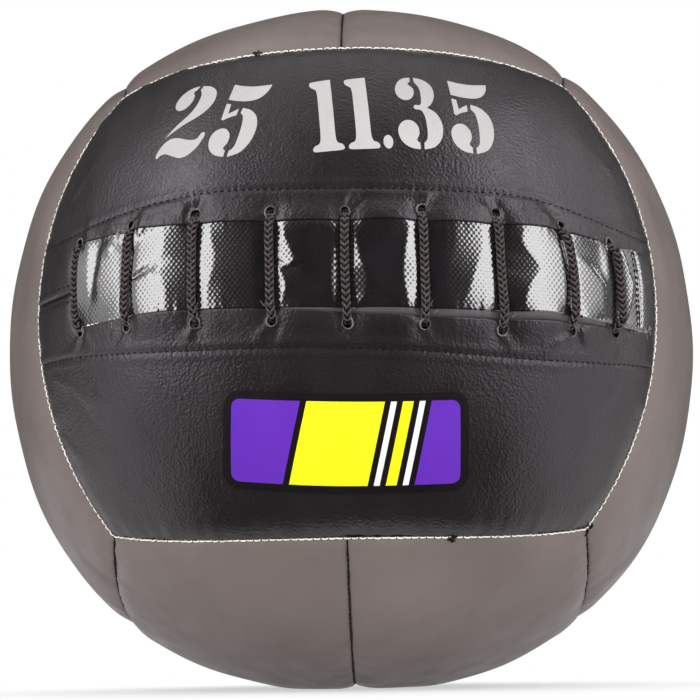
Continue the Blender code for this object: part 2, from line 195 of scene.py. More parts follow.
def thicken(part, thickness):
    """Gives a surface its thickness inward, and less of it where it is pared down."""
    solidify = part.modifiers.new("thickness", "SOLIDIFY")
    solidify.thickness = thickness
    solidify.offset = -1
    solidify.use_quality_normals = True
    if part.vertex_groups:
        solidify.vertex_group = part.vertex_groups[0].name
        solidify.thickness_vertex_group = 0.3


weight_radius = 77 * MM
grain_size, grain_relief = 1.5 * MM, 1.2 * MM
bag_radius = 78.4 * MM
neck_radius, neck_end = 13.6 * MM, 104.0 * MM
neck_pleats = 20
pleats_start, pleats_reach = 60 * MM, 28 * MM          # forward of the ball's middle
pleat_depth, frill_depth, frill_flare = 0.35 * MM, 0.9 * MM, 1.3 * MM
canvas_thickness = 0.9 * MM
tie_place, tie_radius = 91.5 * MM, 16.5 * MM
tie_width = 5 * MM
ply_radius = 0.95 * MM         # of the tie's three strands
tie_twists = 18                # in its turn round the neck
end_arch, end_cross, end_lead = 1.6 * MM, 2 * MM, 8 * MM

# Chilled iron grit: dark angular grains with a dull metal shine
iron_grit, grit_tree, grit_shader = new_finish("chilled_iron_grit", Roughness=0.55, Metallic=0.8)
grit_grains = add_node(grit_tree, "ShaderNodeTexVoronoi", {"Scale": 1 / grain_size},
                       {"Vector": place_on(grit_tree)}).outputs["Distance"]
# Painted shade: each grain lighter at its middle, darker towards the gaps between grains
grit_colour_and_gap_shade = add_node(grit_tree, "ShaderNodeValToRGB", links={"Fac": grit_grains})
grit_colour_and_gap_shade.color_ramp.elements[0].color = from_hex("#6B6864")
grit_colour_and_gap_shade.color_ramp.elements[1].color = from_hex("#2E2B29")
drive(grit_tree, grit_shader, Base_Color=grit_colour_and_gap_shade.outputs["Color"],
      Normal=embossed(grit_tree, grit_grains, 0.8, 0.5 * MM))

fill_rings, fill_turns = 100, 200
angle = np.linspace(0, math.pi, fill_rings)[:, None]
grains = np.random.default_rng(1).uniform(0, 1, (fill_rings, fill_turns)) * grain_relief
grains = weight_radius - grains * np.sin(angle)
weight_fill = rings("iron_grit_fill", turned(grains * np.cos(angle), grains * np.sin(angle),
                                             fill_turns), iron_grit)
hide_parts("weight_fill")

# Cotton duck: coarse plain weave, unbleached
canvas = cloth_finish("cotton_duck", canvas_thickness, "#8C7A5A", "#A8946F", 0.95)

neck_start = math.asin(neck_radius / bag_radius)
body = np.linspace(math.pi, neck_start + 0.06, 60)
neck = np.linspace(bag_radius * math.cos(neck_start) + 1.5 * MM, neck_end, 20)
forward = np.concatenate((bag_radius * np.cos(body), neck))[:, None]
out = np.concatenate((bag_radius * np.sin(body), np.full(20, neck_radius)))[:, None]
gathered = np.clip((forward - pleats_start) / pleats_reach, 0, 1)
beyond_tie = np.clip((forward - tie_place - tie_width / 2) / (8 * MM), 0, 1)
bag_turns = 180
turn = 2 * math.pi * np.arange(bag_turns) / bag_turns
pleats = np.cos(neck_pleats * turn + 0.8 * np.sin(3 * turn))
out = (out + (pleat_depth * gathered + frill_depth * beyond_tie) * pleats
       + frill_flare * beyond_tie)
out = out * (np.abs(out) > 1e-9)
weight_bag = rings("canvas_weight_bag", turned(forward + 0 * out, out, bag_turns), canvas)
thicken(weight_bag, canvas_thickness)
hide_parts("weight_bag")


def square_to(lines, up):
    """Directions to the side of lines of points, and over them towards their up side."""
    run = np.gradient(lines, axis=-2)
    run /= np.linalg.norm(run, axis=-1, keepdims=True)
    side = np.cross(run, up)
    side /= np.linalg.norm(side, axis=-1, keepdims=True)
    return side, np.cross(side, run)


def rods(name, lines, radius, material, sides=6, flat=1.0, up=None):
    """One mesh of closed round rods along lines of points, flattened towards their up side, which
    is outward on the ball where none is given."""
    lines = np.asarray(lines, float)
    side, top = square_to(lines, lines - centre if up is None else up)
    radius = np.broadcast_to(radius, lines.shape[:2])
    turn = 2 * math.pi * np.arange(sides) / sides
    ring = (side[:, :, None] * np.cos(turn)[:, None]
            + top[:, :, None] * np.sin(turn)[:, None] * flat) * radius[:, :, None, None]
    points = lines[:, :, None] + ring
    index = np.arange(points[..., 0].size).reshape(points.shape[:3])
    after = np.roll(index, -1, -1)
    quads = np.stack((index[:, :-1], after[:, :-1], after[:, 1:], index[:, 1:]), -1).reshape(-1, 4)
    ends = np.concatenate((index[:, 0, ::-1], index[:, -1]))
    return piece(name, points.reshape(-1, 3).tolist(), quads[:, ::-1].tolist() + ends.tolist(),
                 material)


# The tie: three-strand cotton cord, once round the neck, its ends crossed and laid forward
around = np.linspace(0, 2 * math.pi, 181)
strands = []
for k in range(3):
    twist = tie_twists * around + k * 2 * math.pi / 3
    wide = tie_radius + ply_radius * np.cos(twist)
    strands.append(centre - (tie_place + ply_radius * np.sin(twist))[:, None] * Y
                   + (wide * np.cos(around))[:, None] * X + (wide * np.sin(around))[:, None] * Z)
for side in (-1, 1):
    share = np.linspace(0, 1, 181)
    strands.append(centre + ((tie_radius + end_arch * np.sin(math.pi * share)) * X[:, None]).T
                   - (tie_place + side * end_cross * (2 * share - 1)
                      + end_lead * share ** 2)[:, None] * Y
                   + (side * (3 - 9 * share) * MM)[:, None] * Z)
tie = rods("cotton_tie", strands, ply_radius, canvas, 8)
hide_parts("weight_bag_tie")


# The stuffing. Shredded textile waste is packed hard round the weight in a front and a back half,
# inside a bag of plain cotton that is open behind the tongue. A sheet of foam under each panel
# keeps the ball round.

crown_share, crown_round_share = 0.0694, 0.0308
seam_radius = half_width / (1 - crown_share / 2 + crown_round_share / 4)
press_round = 1.2 * MM         # rounding where the ball is pressed flat on the floor
ring_count = 140               # points to a ring of the stuffing and its bag


def pressed(directions, height):
    """Points at a height off the ball's skin, pressed flat where they would pass the floor."""
    k = (directions ** 4).sum(-1)
    radius = seam_radius * (1 + crown_share * (0.5 - k) + crown_round_share * (0.5 - k) ** 2)
    points = directions * (radius + height)[..., None]
    depth = np.maximum(-(height + 0 * radius), 0)
    rise = points[..., 2] + rest_height - depth
    points[..., 2] = (rise + np.sqrt(rise ** 2 + press_round ** 2)) / 2 + depth
    return points


def skin_rings(angles, height):
    """Rings of the ball's rounded shape, from its front round to its back."""
    turn = 2 * math.pi * np.arange(ring_count) / ring_count
    angles = angles[:, None]
    out = np.sin(angles)
    directions = np.stack((out * np.cos(turn), -np.cos(angles) + 0 * turn, out * np.sin(turn)), -1)
    return pressed(directions, height + np.zeros(directions.shape[:2]))


def lumps(angles, count, size, seed):
    """Soft lumps of that height, a few to a ring, that close up round it."""
    draw = np.random.default_rng(seed)
    turn = 2 * math.pi * np.arange(count) / count
    total = 0
    for waves in (3, 5, 8, 13):
        total = total + (np.cos(waves * turn + draw.uniform(0, 6.3))
                         * np.cos(waves * angles[:, None] * 1.1 + draw.uniform(0, 6.3)))
    return -size * (0.5 + total / 8) * np.sin(angles[:, None])


# Shredded textile: a felted mass of grey and off-white clippings
textile_fill = cloth_finish("shredded_textile", 2.5 * MM, "#8E8A86", "#C9C2B8", 1.0)
stuffing_height, lump_height = -17.3 * MM, 1.0 * MM
pocket_radius, neck_pocket = 78.8 * MM, 18.8 * MM
neck_gap = 1.2 * MM
half_gap = 0.2 * MM            # between each half and the plane where they meet
outer = np.linspace(0, math.pi / 2, 40)
inner = np.linspace(math.pi / 2, math.asin(neck_pocket / pocket_radius), 24)
for name, way in (("front", 1), ("back", -1)):
    shell = skin_rings(outer, stuffing_height + lumps(outer, ring_count, lump_height, 9 + way))
    shell[..., 1] = (shell[..., 1] - half_gap) * way
    hollow = inner if way > 0 else np.linspace(math.pi / 2, math.pi, 24)
    hollow_forward = pocket_radius * np.cos(hollow) + half_gap * way
    hollow_out = pocket_radius * np.sin(hollow)
    if way > 0:
        hollow_forward = np.append(hollow_forward, (neck_end + neck_gap, neck_end + neck_gap))
        hollow_out = np.append(hollow_out, (neck_pocket, 0))
    shell = np.concatenate((shell, turned(hollow_forward, hollow_out, ring_count)))
    half = rings(name + "_textile_fill", shell, textile_fill)
    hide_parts(name + "_stuffing")

# Unbleached calico: fine plain weave
calico = cloth_finish("calico", 0.5 * MM, "#B9B2A2", "#CFC8B8", 0.95)
bag_mouth = math.radians(18)
liner_height, liner_lumps, liner_thickness = -15.95 * MM, 0.2 * MM, 0.6 * MM
hem_rise = 0.10 * MM
round_bag = np.linspace(bag_mouth, math.pi, 110)
bag_height = liner_height + lumps(round_bag, ring_count, liner_lumps, 12)
hem = bell(round_bag - bag_mouth, 0.03)[:, None]
liner = rings("calico_bag", skin_rings(round_bag, bag_height + hem_rise * hem), calico)
thicken(liner, liner_thickness)
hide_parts("liner_bag")


# The shell. Twelve equal strips of coated fabric are sewn edge to edge, two to each of six faces,
# and the stuffing rounds them out: the faces lie lowest at their middles and the seams stand a
# little proud. The edges roll in along every seam, where the thread draws them down.

seam_bow = math.radians(6.86)
corner_angle = math.atan(math.sqrt(0.5))
seam_dip, seam_dip_reach = 2.2 * MM, 12 * MM
edge_roll = 1.6 * MM
stitch_pitch = 3.2 * MM
leather_thickness = 1.0 * MM
pucker_height, pucker_reach = 0.55 * MM, 7 * MM
stitch_dent, stitch_dent_reach = 0.10 * MM, 1.8 * MM
slack_along, slack_across = 0.30 * MM, 0.35 * MM       # of the shallow waves in a strip
panel_step = 2.4 * MM          # between the points of a panel

along_end = half_width * (math.pi / 4 + seam_bow)      # from a face's middle to its end seam
corner_rise = half_width * corner_angle

# The long seam of a strip, as the distance across the face at each distance along it
seam_turn = corner_angle * np.linspace(-1, 1, 801)
seam_lean = math.pi / 4 - seam_bow * (1 - (seam_turn / corner_angle) ** 2)
seam_out = np.stack((np.sin(seam_turn), np.cos(seam_lean) * np.cos(seam_turn),
                     np.sin(seam_lean) * np.cos(seam_turn)))
long_seam_u = half_width * np.arctan2(seam_out[0], seam_out[1])
long_seam_v = half_width * np.arcsin(seam_out[2])


def long_seam(u):
    """How far a strip's long seam lies from its mid seam, at a distance along it."""
    return np.interp(u, long_seam_u, long_seam_v)


def end_seam(v):
    """How far a strip's end seam lies from its middle, at a distance across it."""
    return half_width * (math.pi / 4 + seam_bow * (1 - (v / corner_rise) ** 2))


def on_skin(face, u, v, height=0.0):
    """Points that height off the ball's skin, u along a face and v across it."""
    turn, lean = u / half_width, v / half_width
    q = np.stack(np.broadcast_arrays(np.sin(turn) * np.cos(lean), np.cos(turn) * np.cos(lean),
                                     np.sin(lean)), -1)
    return pressed(q @ face, height)


def ripple(place, lengths, seed):
    """A smooth wandering line from -1 to 1, made of waves of those lengths."""
    draw = np.random.default_rng(seed)
    waves = [np.sin(2 * math.pi * place / length + draw.uniform(0, 2 * math.pi))
             for length in lengths]
    return sum(waves) / len(waves)


def seam_form(u, v, seed):
    """Height of a strip off the skin: drawn in and rolled over at its seams, with puckers there."""
    to_mid, to_long = v, long_seam(u) - v
    to_end = (end_seam(v) - np.abs(u)) * np.cos(v / half_width)
    dips, puckers = 0, 0
    for distance, place, k in ((to_mid, u, 0), (to_long, u, 1), (to_end, v, 2)):
        distance = np.maximum(distance, 0)
        dip = seam_dip * np.maximum(0, 1 - distance / seam_dip_reach) ** 2
        over = np.maximum(0, edge_roll - distance)
        dip += edge_roll - np.sqrt(np.maximum(edge_roll ** 2 - over ** 2, 0))
        dips = dips + dip ** 4
        wave = ripple(place, (9 * MM, 13 * MM, 22 * MM, 37 * MM), seed * 7 + k)
        puckers = puckers + wave * pucker_height * np.exp(-distance / pucker_reach)
        puckers = puckers + (stitch_dent * np.cos(2 * math.pi * place / stitch_pitch)
                             * np.exp(-distance / stitch_dent_reach))
    slack = slack_along * ripple(u + 0.6 * v, (61 * MM, 97 * MM), seed)
    slack = slack + slack_across * ripple(v - 0.4 * u, (53 * MM, 83 * MM), seed + 50)
    return puckers + slack - dips ** 0.25


def stations(length, step, rolled=(True, True)):
    """Shares of a length, a step apart, and closer where an end rolls into a seam."""
    roll = np.array((0, 0.2, 0.45, 0.75, 1.1, 1.6, 2.3, 3.2, 4.4)) * MM
    start = roll if rolled[0] else roll[:1]
    stop = length - (roll if rolled[1] else roll[:1])[::-1]
    count = max(2, round((stop[0] - start[-1]) / step))
    middle = np.linspace(start[-1], stop[0], count + 1)[1:-1]
    return np.concatenate((start, middle, stop)) / length


def strip_grid(columns, low, high, edge):
    """u and v of a grid over one strip. Rows at low shares lie between the mid seam and the edge,
    rows at high shares between the edge and the long seam."""
    share = columns[None, :]
    low = np.concatenate((low, np.ones(len(high) - 1)))[:, None]
    high = np.concatenate((np.zeros(len(low) - len(high) + 1), high[1:]))[:, None]
    u = share * along_end + 0 * low
    for _ in range(8):
        v = low * edge(u) + high * (long_seam(u) - edge(u))
        u = share * along_end * (1 - (1 - end_seam(v) / along_end) * np.abs(share) ** 6)
    return u, v


def grid_quads(rows, columns):
    """The faces between rows of points, as the numbers of their corners."""
    index = np.arange(rows * columns).reshape(rows, columns)
    quads = np.stack((index[:-1, :-1], index[:-1, 1:], index[1:, 1:], index[1:, :-1]), -1)
    return quads.reshape(-1, 4)


def sheet(name, points, material, left_out=None, full=None):
    """A surface through rows of points, without the faces that are left out. Where the share of
    its full thickness is given and is under 1 it gets thinner."""
    rows, columns = points.shape[:2]
    quads = grid_quads(rows, columns)
    quads = quads if left_out is None else quads[~left_out.reshape(-1)]
    a, b, c = (points.reshape(-1, 3)[quads[len(quads) // 2, k]] for k in (0, 1, 3))
    if np.dot(np.cross(b - a, c - a), a - Z * rest_height) < 0:
        quads = quads[:, ::-1]
    used = np.unique(quads)
    renumber = np.zeros(rows * columns, int)
    renumber[used] = np.arange(len(used))
    made = piece(name, points.reshape(-1, 3)[used].tolist(), renumber[quads].tolist(), material)
    if full is not None:
        group = made.vertex_groups.new(name="thickness")
        for number, share in enumerate(full.reshape(-1)[used]):
            group.add([number], share, "REPLACE")
    return made


def leather_finish(name, dark, light, roughness, specular, grain_height):
    """PVC on a knitted backing, embossed with a fine grain: a soft, broken shine that breaks up
    further where the fabric has creased."""
    material, tree, shader = new_finish(name, Roughness=roughness, Specular_IOR_Level=specular,
                                        Specular_Tint=(1.0, 0.92, 1.0, 1))
    place = place_on(tree)
    upright = add_node(tree, "ShaderNodeMapping", {"Scale": (1.0, 1.0, 0.4)},
                       {"Vector": place}).outputs["Vector"]
    grain = add_node(tree, "ShaderNodeTexVoronoi", {"Scale": 1 / (1.1 * MM), "Randomness": 1.0},
                     {"Vector": place}, feature="SMOOTH_F1")
    wrinkle = clouds(tree, upright, 1.9 * MM, 3.0, Distortion=1.2)
    crease = clouds(tree, upright, 14 * MM, 2.0, Roughness=0.5)
    fine = embossed(tree, grain.outputs["Distance"], 1.0, grain_height)
    middling = embossed(tree, wrinkle, 0.8, 0.10 * MM, fine)
    broad = embossed(tree, crease, 0.5, 0.5 * MM, middling)
    polish = add_node(tree, "ShaderNodeMapRange", {"From Min": 0.3, "From Max": 0.7,
                                                   "To Min": roughness - 0.06,
                                                   "To Max": roughness + 0.08}, {"Value": crease})
    drive(tree, shader, Base_Color=mottle(tree, 45 * MM, dark, light, 0.3, 0.7),
          Roughness=polish.outputs["Result"], Normal=broad)
    return material


# Black PVC leather, embossed: nearly black, with a faintly violet bloom where it faces a light
black_leather = leather_finish("black_pvc_leather", "#181416", "#1E1A1C", 0.38, 0.72, 0.20 * MM)
# Grey-brown PVC leather, embossed: the same fabric in a warm grey
grey_leather = leather_finish("grey_pvc_leather", "#645A57", "#6F6562", 0.44, 0.36, 0.14 * MM)

faces = {
    "front": (X, -Y, (("upper", Z), ("lower", -Z))),
    "back": (X, Y, (("upper", Z), ("lower", -Z))),
    "top": (Y, Z, (("left", -X), ("right", X))),
    "bottom": (Y, -Z, (("left", -X), ("right", X))),
    "left": (Z, -X, (("front", -Y), ("back", Y))),
    "right": (Z, X, (("front", -Y), ("back", Y))),
}
strips = {f"{face}_{half}": np.array((along, out, across))
          for face, (along, out, halves) in faces.items() for half, across in halves}


for number, (name, face) in enumerate(strips.items()):
    if name.startswith("front"):
        continue
    columns = stations(2 * along_end, panel_step) * 2 - 1
    rows = stations(long_seam(0), panel_step)
    u, v = strip_grid(columns, rows[:1], rows, np.zeros_like)
    is_black = name.startswith("back")
    panel = sheet(name + "_leather", on_skin(face, u, v, seam_form(u, v, number)),
                  black_leather if is_black else grey_leather)
    thicken(panel, leather_thickness)
    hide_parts(name + "_panel")


# The padding. A sheet of closed-cell foam lies under each panel, cut back from the turned-in edges
# of the leather and, behind the front face, from the slit. It rounds the ball and softens a catch.

pad_top, pad_bottom = -3.5 * MM, -13.1 * MM
pad_inset = 8.0 * MM           # from the seams
pad_round = 4.0 * MM           # rounding of its cut edges
front_pad_start = 42.5 * MM    # from the middle of the front face
pad_step = 5 * MM

# Closed-cell foam sheet: pale grey, matt, with fine pores
foam_sheet = cloth_finish("closed_cell_foam", 1.0 * MM, "#8E8F94", "#A3A4A8", 0.9)

for number, (name, face) in enumerate(strips.items()):
    start = front_pad_start if name.startswith("front") else pad_inset
    stop = long_seam(0) - pad_inset
    reach = along_end - pad_inset
    s, t = (stations(length, pad_step) for length in (2 * reach, stop - start))
    s, t = np.meshgrid(s * 2 - 1, t)
    # The sheet's outline follows the seams at an even distance
    u = s * reach
    for _ in range(6):
        v = start + t * (long_seam(u / reach * along_end) - pad_inset - start)
        u = s * (end_seam(v) - pad_inset / np.cos(v / half_width))
    edge = np.minimum(np.minimum(v - start, long_seam(u) - pad_inset - v),
                      end_seam(v) - pad_inset / np.cos(v / half_width) - np.abs(u))
    inward = 1 - np.clip(edge / pad_round, 0, 1)
    half = (pad_top - pad_bottom) / 2 * np.sqrt(1 - inward ** 2)
    middle = (pad_top + pad_bottom) / 2
    layers = [on_skin(face, u, v, middle + way * half) for way in (1, -1)]
    quads = grid_quads(*u.shape)
    pad = joined(piece(name + "_foam", np.concatenate(layers).reshape(-1, 3).tolist(),
                       np.concatenate((quads, quads[:, ::-1] + u.size)).tolist(), foam_sheet))
    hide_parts(name + "_pad")


# The opened face. Both front strips are cut back to a long slit, and nine holes are punched beside
# each of its edges. A line of black topstitching, seam to seam, holds a facing behind each edge.
# The laces pull the leather down at the holes and gather it into short folds.

slit_left, slit_right = -126.2 * MM, 120 * MM
upper_edge = np.array(((-165, 21.0), (-127, 21.0), (-101, 20.9), (-80, 20.5), (-65, 19.7),
                       (-47, 18.8), (-34, 17.9), (-17, 17.3), (2, 16.7), (35, 16.6), (68, 17.0),
                       (96, 17.6), (112, 16.4), (125, 15.4), (165, 15.4))) * MM
lower_edge = np.array(((-165, 17.0), (-123, 17.1), (-111, 17.2), (-99, 16.7), (-84, 16.6),
                       (-65, 17.6), (-43, 18.9), (-26, 20.2), (-17, 21.0), (1, 22.6), (24, 23.7),
                       (45, 24.2), (67, 23.8), (95, 22.2), (112, 22.2), (125, 21.6),
                       (165, 21.6))) * MM
upper_stitches = np.array(((-165, 25.0), (-150, 25.2), (-131, 25.9), (-114, 28.4), (-95, 31.0),
                           (-76, 32.7), (-62, 33.6), (-46, 33.5), (-31, 32.8), (2, 32.1),
                           (42, 31.6), (81, 31.4), (94, 29.9), (105, 27.6), (118, 25.0),
                           (130, 23.2), (148, 22.6), (165, 22.6))) * MM
lower_stitches = np.array(((-165, 27.6), (-157, 27.8), (-129, 29.1), (-93, 32.3), (-65, 34.5),
                           (-22, 36.1), (3, 37.1), (36, 37.9), (60, 38.9), (86, 39.0),
                           (115, 37.5), (152, 34.4), (165, 33.6))) * MM
# Each hole's place and half its width
upper_holes = np.array(((-125.6, 21.4, 1.9), (-94.4, 23.5, 2.1), (-63.2, 24.0, 2.3),
                        (-30.1, 22.3, 2.2), (1.6, 21.2, 2.0), (33.9, 22.0, 2.1),
                        (66.3, 21.8, 2.1), (97.2, 20.1, 1.8), (123.9, 16.6, 1.8))) * MM
lower_holes = np.array(((-123.8, -18.9, 1.9), (-95.8, -20.9, 2.0), (-63.0, -23.1, 2.2),
                        (-29.4, -24.6, 2.2), (2.1, -26.7, 2.2), (34.2, -27.2, 2.1),
                        (68.0, -27.8, 2.3), (100.4, -25.6, 2.0), (125.9, -23.5, 1.9))) * MM
lace_middles = np.array(((-127.7, 0.5), (-95.6, 1.5), (-63.5, 0.3), (-29.8, -1.3), (1.3, -3.8),
                         (34.0, -4.5), (66.8, -3.7), (101.2, -1.9), (126.2, -4.3))) * MM
last_lace = len(lace_middles) - 1
topstitch_pitch = 3.2 * MM
topstitch_sink, topstitch_ridge, topstitch_dent = 0.30 * MM, 0.22 * MM, 0.08 * MM
topstitch_groove = 0.9 * MM    # half the width of the groove that it lies in
ridge_away, ridge_wide = 2.6 * MM, 1.6 * MM            # of the ridge on each side of the groove
lip_reach = 8.5 * MM           # how far from the slit the leather rides up on the tongue
lip_fade = 3 * MM              # how softly that stops at the slit's ends
pared_reach = 1.5 * MM         # how far from the slit the leather is pared down
wrinkled, wrinkle_fade = 5 * MM, 7 * MM                # from the slit, and beyond that
wrinkle_rise = 0.16 * MM
hole_sink, hole_sink_reach = 0.6 * MM, 5 * MM
hole_lip, hole_lip_wide = 0.45 * MM, 0.9 * MM
lip_gap = 0.4 * MM             # between the tongue's face and the leather's over it
under_lace = 0.8 * MM          # depth of the tongue's groove under each lace
under_lace_wide = 1.4 * MM
bay_corner = np.array((-94, 10)) * MM                  # raised, right of the second lace
corner_lean, corner_slope = 1.11, 0.24
first_groove = 2.4 * MM        # depth of the groove that the first lace presses
groove_wide, groove_reach = 2.6 * MM, 19 * MM
fold_share = 1.4               # how much higher the folds lie than they are drawn

# The tongue sinks under each lace and rises beside it. Of each side of a bay: the width of its
# steep part at places up the face, the least and the greatest slope of that, the crest's height
# over the lace's side, and how much further on the crest is reached; at some sides a first step.
tongue_foot = 0.1 * MM
lace_side = 1.9 * MM
tongue_sides = (
    (None, None),
    ((((0, 0),), 0.0, 0.0, 0.25, 3, 1.0, 1.0),
     (((-20, 10.6), (-8, 10.6), (-3, 12.6), (0, 14.1), (3, 14.6), (8, 12.1), (20, 11.6)),
      0.09, 0.12, 1.3, 3)),
    ((((-18, 3.6), (-8, 5.1), (0, 7.6), (5, 8.1), (10, 6.8), (18, 5.1)), 0.08, 0.15, 0.9, 6),
     (((0, 0),), 0.2, 0.2, 0.9, 5)),
    ((((-20, 2.1), (-14, 3.9), (-11, 5.0), (-8, 4.3), (-6, 3.3), (-4, 1.9), (-3, 2.4), (-1.5, 7.9),
       (0.3, 9.3), (2, 8.3), (6, 6.9), (10, 4.9), (18, 3.4)), 0.31, 0.40, 1.9, 9),
     (((-20, 2.5), (-16, 4.0), (-8, 4.2), (0, 3.4), (8, 2.2), (18, 2.5)), 0.40, 0.46, 3.2, 10)),
    ((((-20, 2.3), (-15, 4.8), (-10, 6.3), (-5, 5.1), (0, 3.3), (8, 1.6), (18, 0.8)),
      0.40, 0.50, 2.1, 9, 1.5, 0.65),
     (((-20, 4.6), (-15, 5.8), (-10, 6.8), (-5, 7.1), (0, 6.6), (5, 5.1), (10, 4.1), (18, 2.6)),
      0.26, 0.36, 2.1, 9, 0.8, 0.8)),
    ((((0, 0),), 0.2, 0.2, 1.7, 7),
     (((-20, 15.9), (-15, 13.9), (-10, 11.9), (-5, 9.9), (0, 7.9), (5, 5.9), (10, 4.9), (18, 4.9)),
      0.10, 0.15, 1.7, 12)),
    ((((-18, 7.8), (-14, 8.3), (-10, 9.8), (-6, 12.3), (-2, 15.3), (0, 15.8), (2, 14.5),
       (6, 10.5), (10, 8.0), (18, 10.0)), 0.11, 0.24, 1.9, 3),
     (((0, 12),), -0.01, -0.01, -0.12, 3, 3.0, 2.0)),
    ((((-20, 12.6), (-3, 12.6), (8, 0.6), (18, 0.2)), 0.09, 0.09, 0.05, 6, 1.3, 0.6), None),
)
# Heights of the first bay, left of the second lace: rows across it, from the lowest to the highest
before_first_bay = ((-133, -3.6), (-128, -3.4))
first_bay = (
    (-17, ((-126.2, -2.2), (-124.8, 0.2), (-117, 0.2), (-110, 0.2), (-100.5, 0.0), (-98, -0.3))),
    (-10, ((-126.2, -2.0), (-124.8, 0.7), (-117, 0.6), (-110, 0.7), (-100.5, 0.2), (-98, -0.2))),
    (-4, ((-126.2, -1.9), (-124.8, 1.1), (-117.5, 0.4), (-115.8, 0.0), (-111, 0.7),
          (-100.5, -0.3), (-98, -0.5))),
    (2, ((-126.2, -1.9), (-124.8, 1.4), (-118, 0.4), (-115, -0.6), (-112.5, 0.6),
         (-100.5, -0.8), (-98, -0.8))),
    (10, ((-126.2, -1.9), (-124.8, 1.6), (-118.5, 0.5), (-114, -0.9), (-111, 0.5), (-101, -0.7),
          (-98, -0.8))),
    (18, ((-126.2, -1.9), (-124.8, 1.6), (-118.5, 0.9), (-113, -0.8), (-107, 0.3), (-101, -0.3),
          (-98, -0.6))),
)


def through(knots, u, reaches=(4 * MM, 8 * MM)):
    """A smooth line through a table of places."""
    at = np.interp(u, knots[:, 0], knots[:, 1])
    for reach in reaches:
        at = (at + np.interp(u - reach, *knots.T) + np.interp(u + reach, *knots.T)) / 3
    return at


def fold(u, v, start, stop, width, height):
    """A fold from one place to another, widening as it runs out, high at its start."""
    start, stop = np.array(start) * MM, np.array(stop) * MM
    run = stop - start
    length = np.hypot(*run)
    along = ((u - start[0]) * run[0] + (v - start[1]) * run[1]) / length
    across = ((v - start[1]) * run[0] - (u - start[0]) * run[1]) / length
    share = along / length
    spread = width * MM * (0.55 + 0.6 * np.clip(share, 0, 1.4))
    body = np.clip(1.15 - share, 0, 1) ** 1.2 * step_up(along - width * MM * 0.3, 0.8 * MM)
    return height * MM * body * bell(across, spread)


# Start and end of each fold, its width and its height; negative ones are valleys
hole_folds = (
    ((-30.6, -26.3), (-37, -33), 2.6, 1.0), ((-26.5, -26.5), (-30, -37), 2.0, -0.4),
    ((2.6, 23.5), (7.5, 32), 2.4, 1.0), ((6, 22), (12, 31), 2.0, -0.4),
    ((34.6, 24.2), (38.5, 32), 2.2, 1.0), ((38, 22), (44, 30), 2.0, -0.4),
    ((-63.2, 26), (-59, 34), 2.6, -0.7), ((-67, 25), (-74, 30), 2.6, 0.8),
    ((-32.8, 21.0), (-37, 20), 1.8, 0.6), ((64.5, 24), (60, 30), 2.6, 0.7),
    ((68.5, 24), (75, 30), 3.4, 0.5),
    ((96.6, 22), (86, 34), 3.4, -0.8), ((92, 20), (78, 31), 3.4, 0.7),
    ((-94.2, 26), (-88, 33), 2.2, -0.6), ((-98, 23.5), (-114, 24.5), 3.4, 0.8),
    ((-123.8, -21), (-132, -30), 2.4, 0.6), ((-120, -20), (-116, -31), 2.2, 0.4),
    ((-95.9, -23), (-102, -32), 2.4, 0.6), ((-64.0, -25), (-68, -31), 2.6, 0.9),
    ((1.9, -29), (-1, -36), 2.0, 0.6), ((31.5, -27), (26, -24.6), 2.2, 0.7),
    ((34.6, -29.5), (39, -36), 2.0, 0.5), ((70.8, -27.0), (75, -25), 1.8, 0.6),
    ((68, -30), (74, -37), 2.4, 0.5), ((98.6, -24.5), (88, -31), 3.0, -0.8),
    ((98.2, -28), (86, -37), 3.2, 0.9), ((103.4, -25.5), (112, -25.5), 3.4, 0.7),
    ((104, -28), (108, -37), 2.4, -0.5), ((126.3, -25.5), (131, -34), 2.4, 0.5),
    ((122.0, 16.8), (118.5, 20), 1.8, 0.6), ((126.8, 17.5), (133, 17), 1.8, 0.5),
    ((-147, -34), (-98, -62), 3.5, 0.30), ((-136, -40), (-104, -80), 3.0, -0.25),
    ((-150, -60), (-120, -88), 4.0, 0.30), ((-118, -46), (-86, -66), 3.5, 0.22),
    ((132, -44), (104, -70), 4.0, 0.28), ((140, 50), (112, 74), 4.5, 0.25),
    ((-140, 44), (-120, 74), 4.5, 0.30),
)


def lace_place(number, share):
    """How far across the face a lace lies, at a share of its way up. The two outer ones bow more
    evenly than the others."""
    low, middle, high = (row[number, 0] for row in (lower_holes, lace_middles, upper_holes))
    bow = (4 * share * (1 - share)) ** (1.0 if 0 < number < last_lace else 0.6)
    return low * (1 - share) + high * share + bow * (middle - (low + high) / 2)


def lace_lines(v):
    """Where each lace crosses the face, at places up and down it."""
    for number, (low, high) in enumerate(zip(lower_holes[:, 1], upper_holes[:, 1])):
        yield lace_place(number, np.clip((v - low) / (high - low), 0, 1))


def lace_grip(u, v, reach):
    """1 under each lace, falling to 0 between them."""
    grip = 0
    for line in lace_lines(v):
        grip = np.maximum(grip, bell(u - line, reach))
    return grip


def bay_side(x, v, widths, least, most, crest, reach, step=0.0, rise=0.0):
    """Height over the foot at a distance from a lace's side, after a first steep step."""
    height = rise * MM * np.clip(x / max(step * MM, 1e-9), 0, 1)
    x = x - step * MM
    width = np.interp(v, *np.array(widths).T * MM)
    slope = np.clip(crest * MM / np.maximum(width, 1e-9), least, most)
    top = slope * width
    far = top + (crest * MM - top) * np.clip((x - width) / (reach * MM), 0, 1)
    return height + np.where(x < width, slope * np.maximum(x, 0), far)


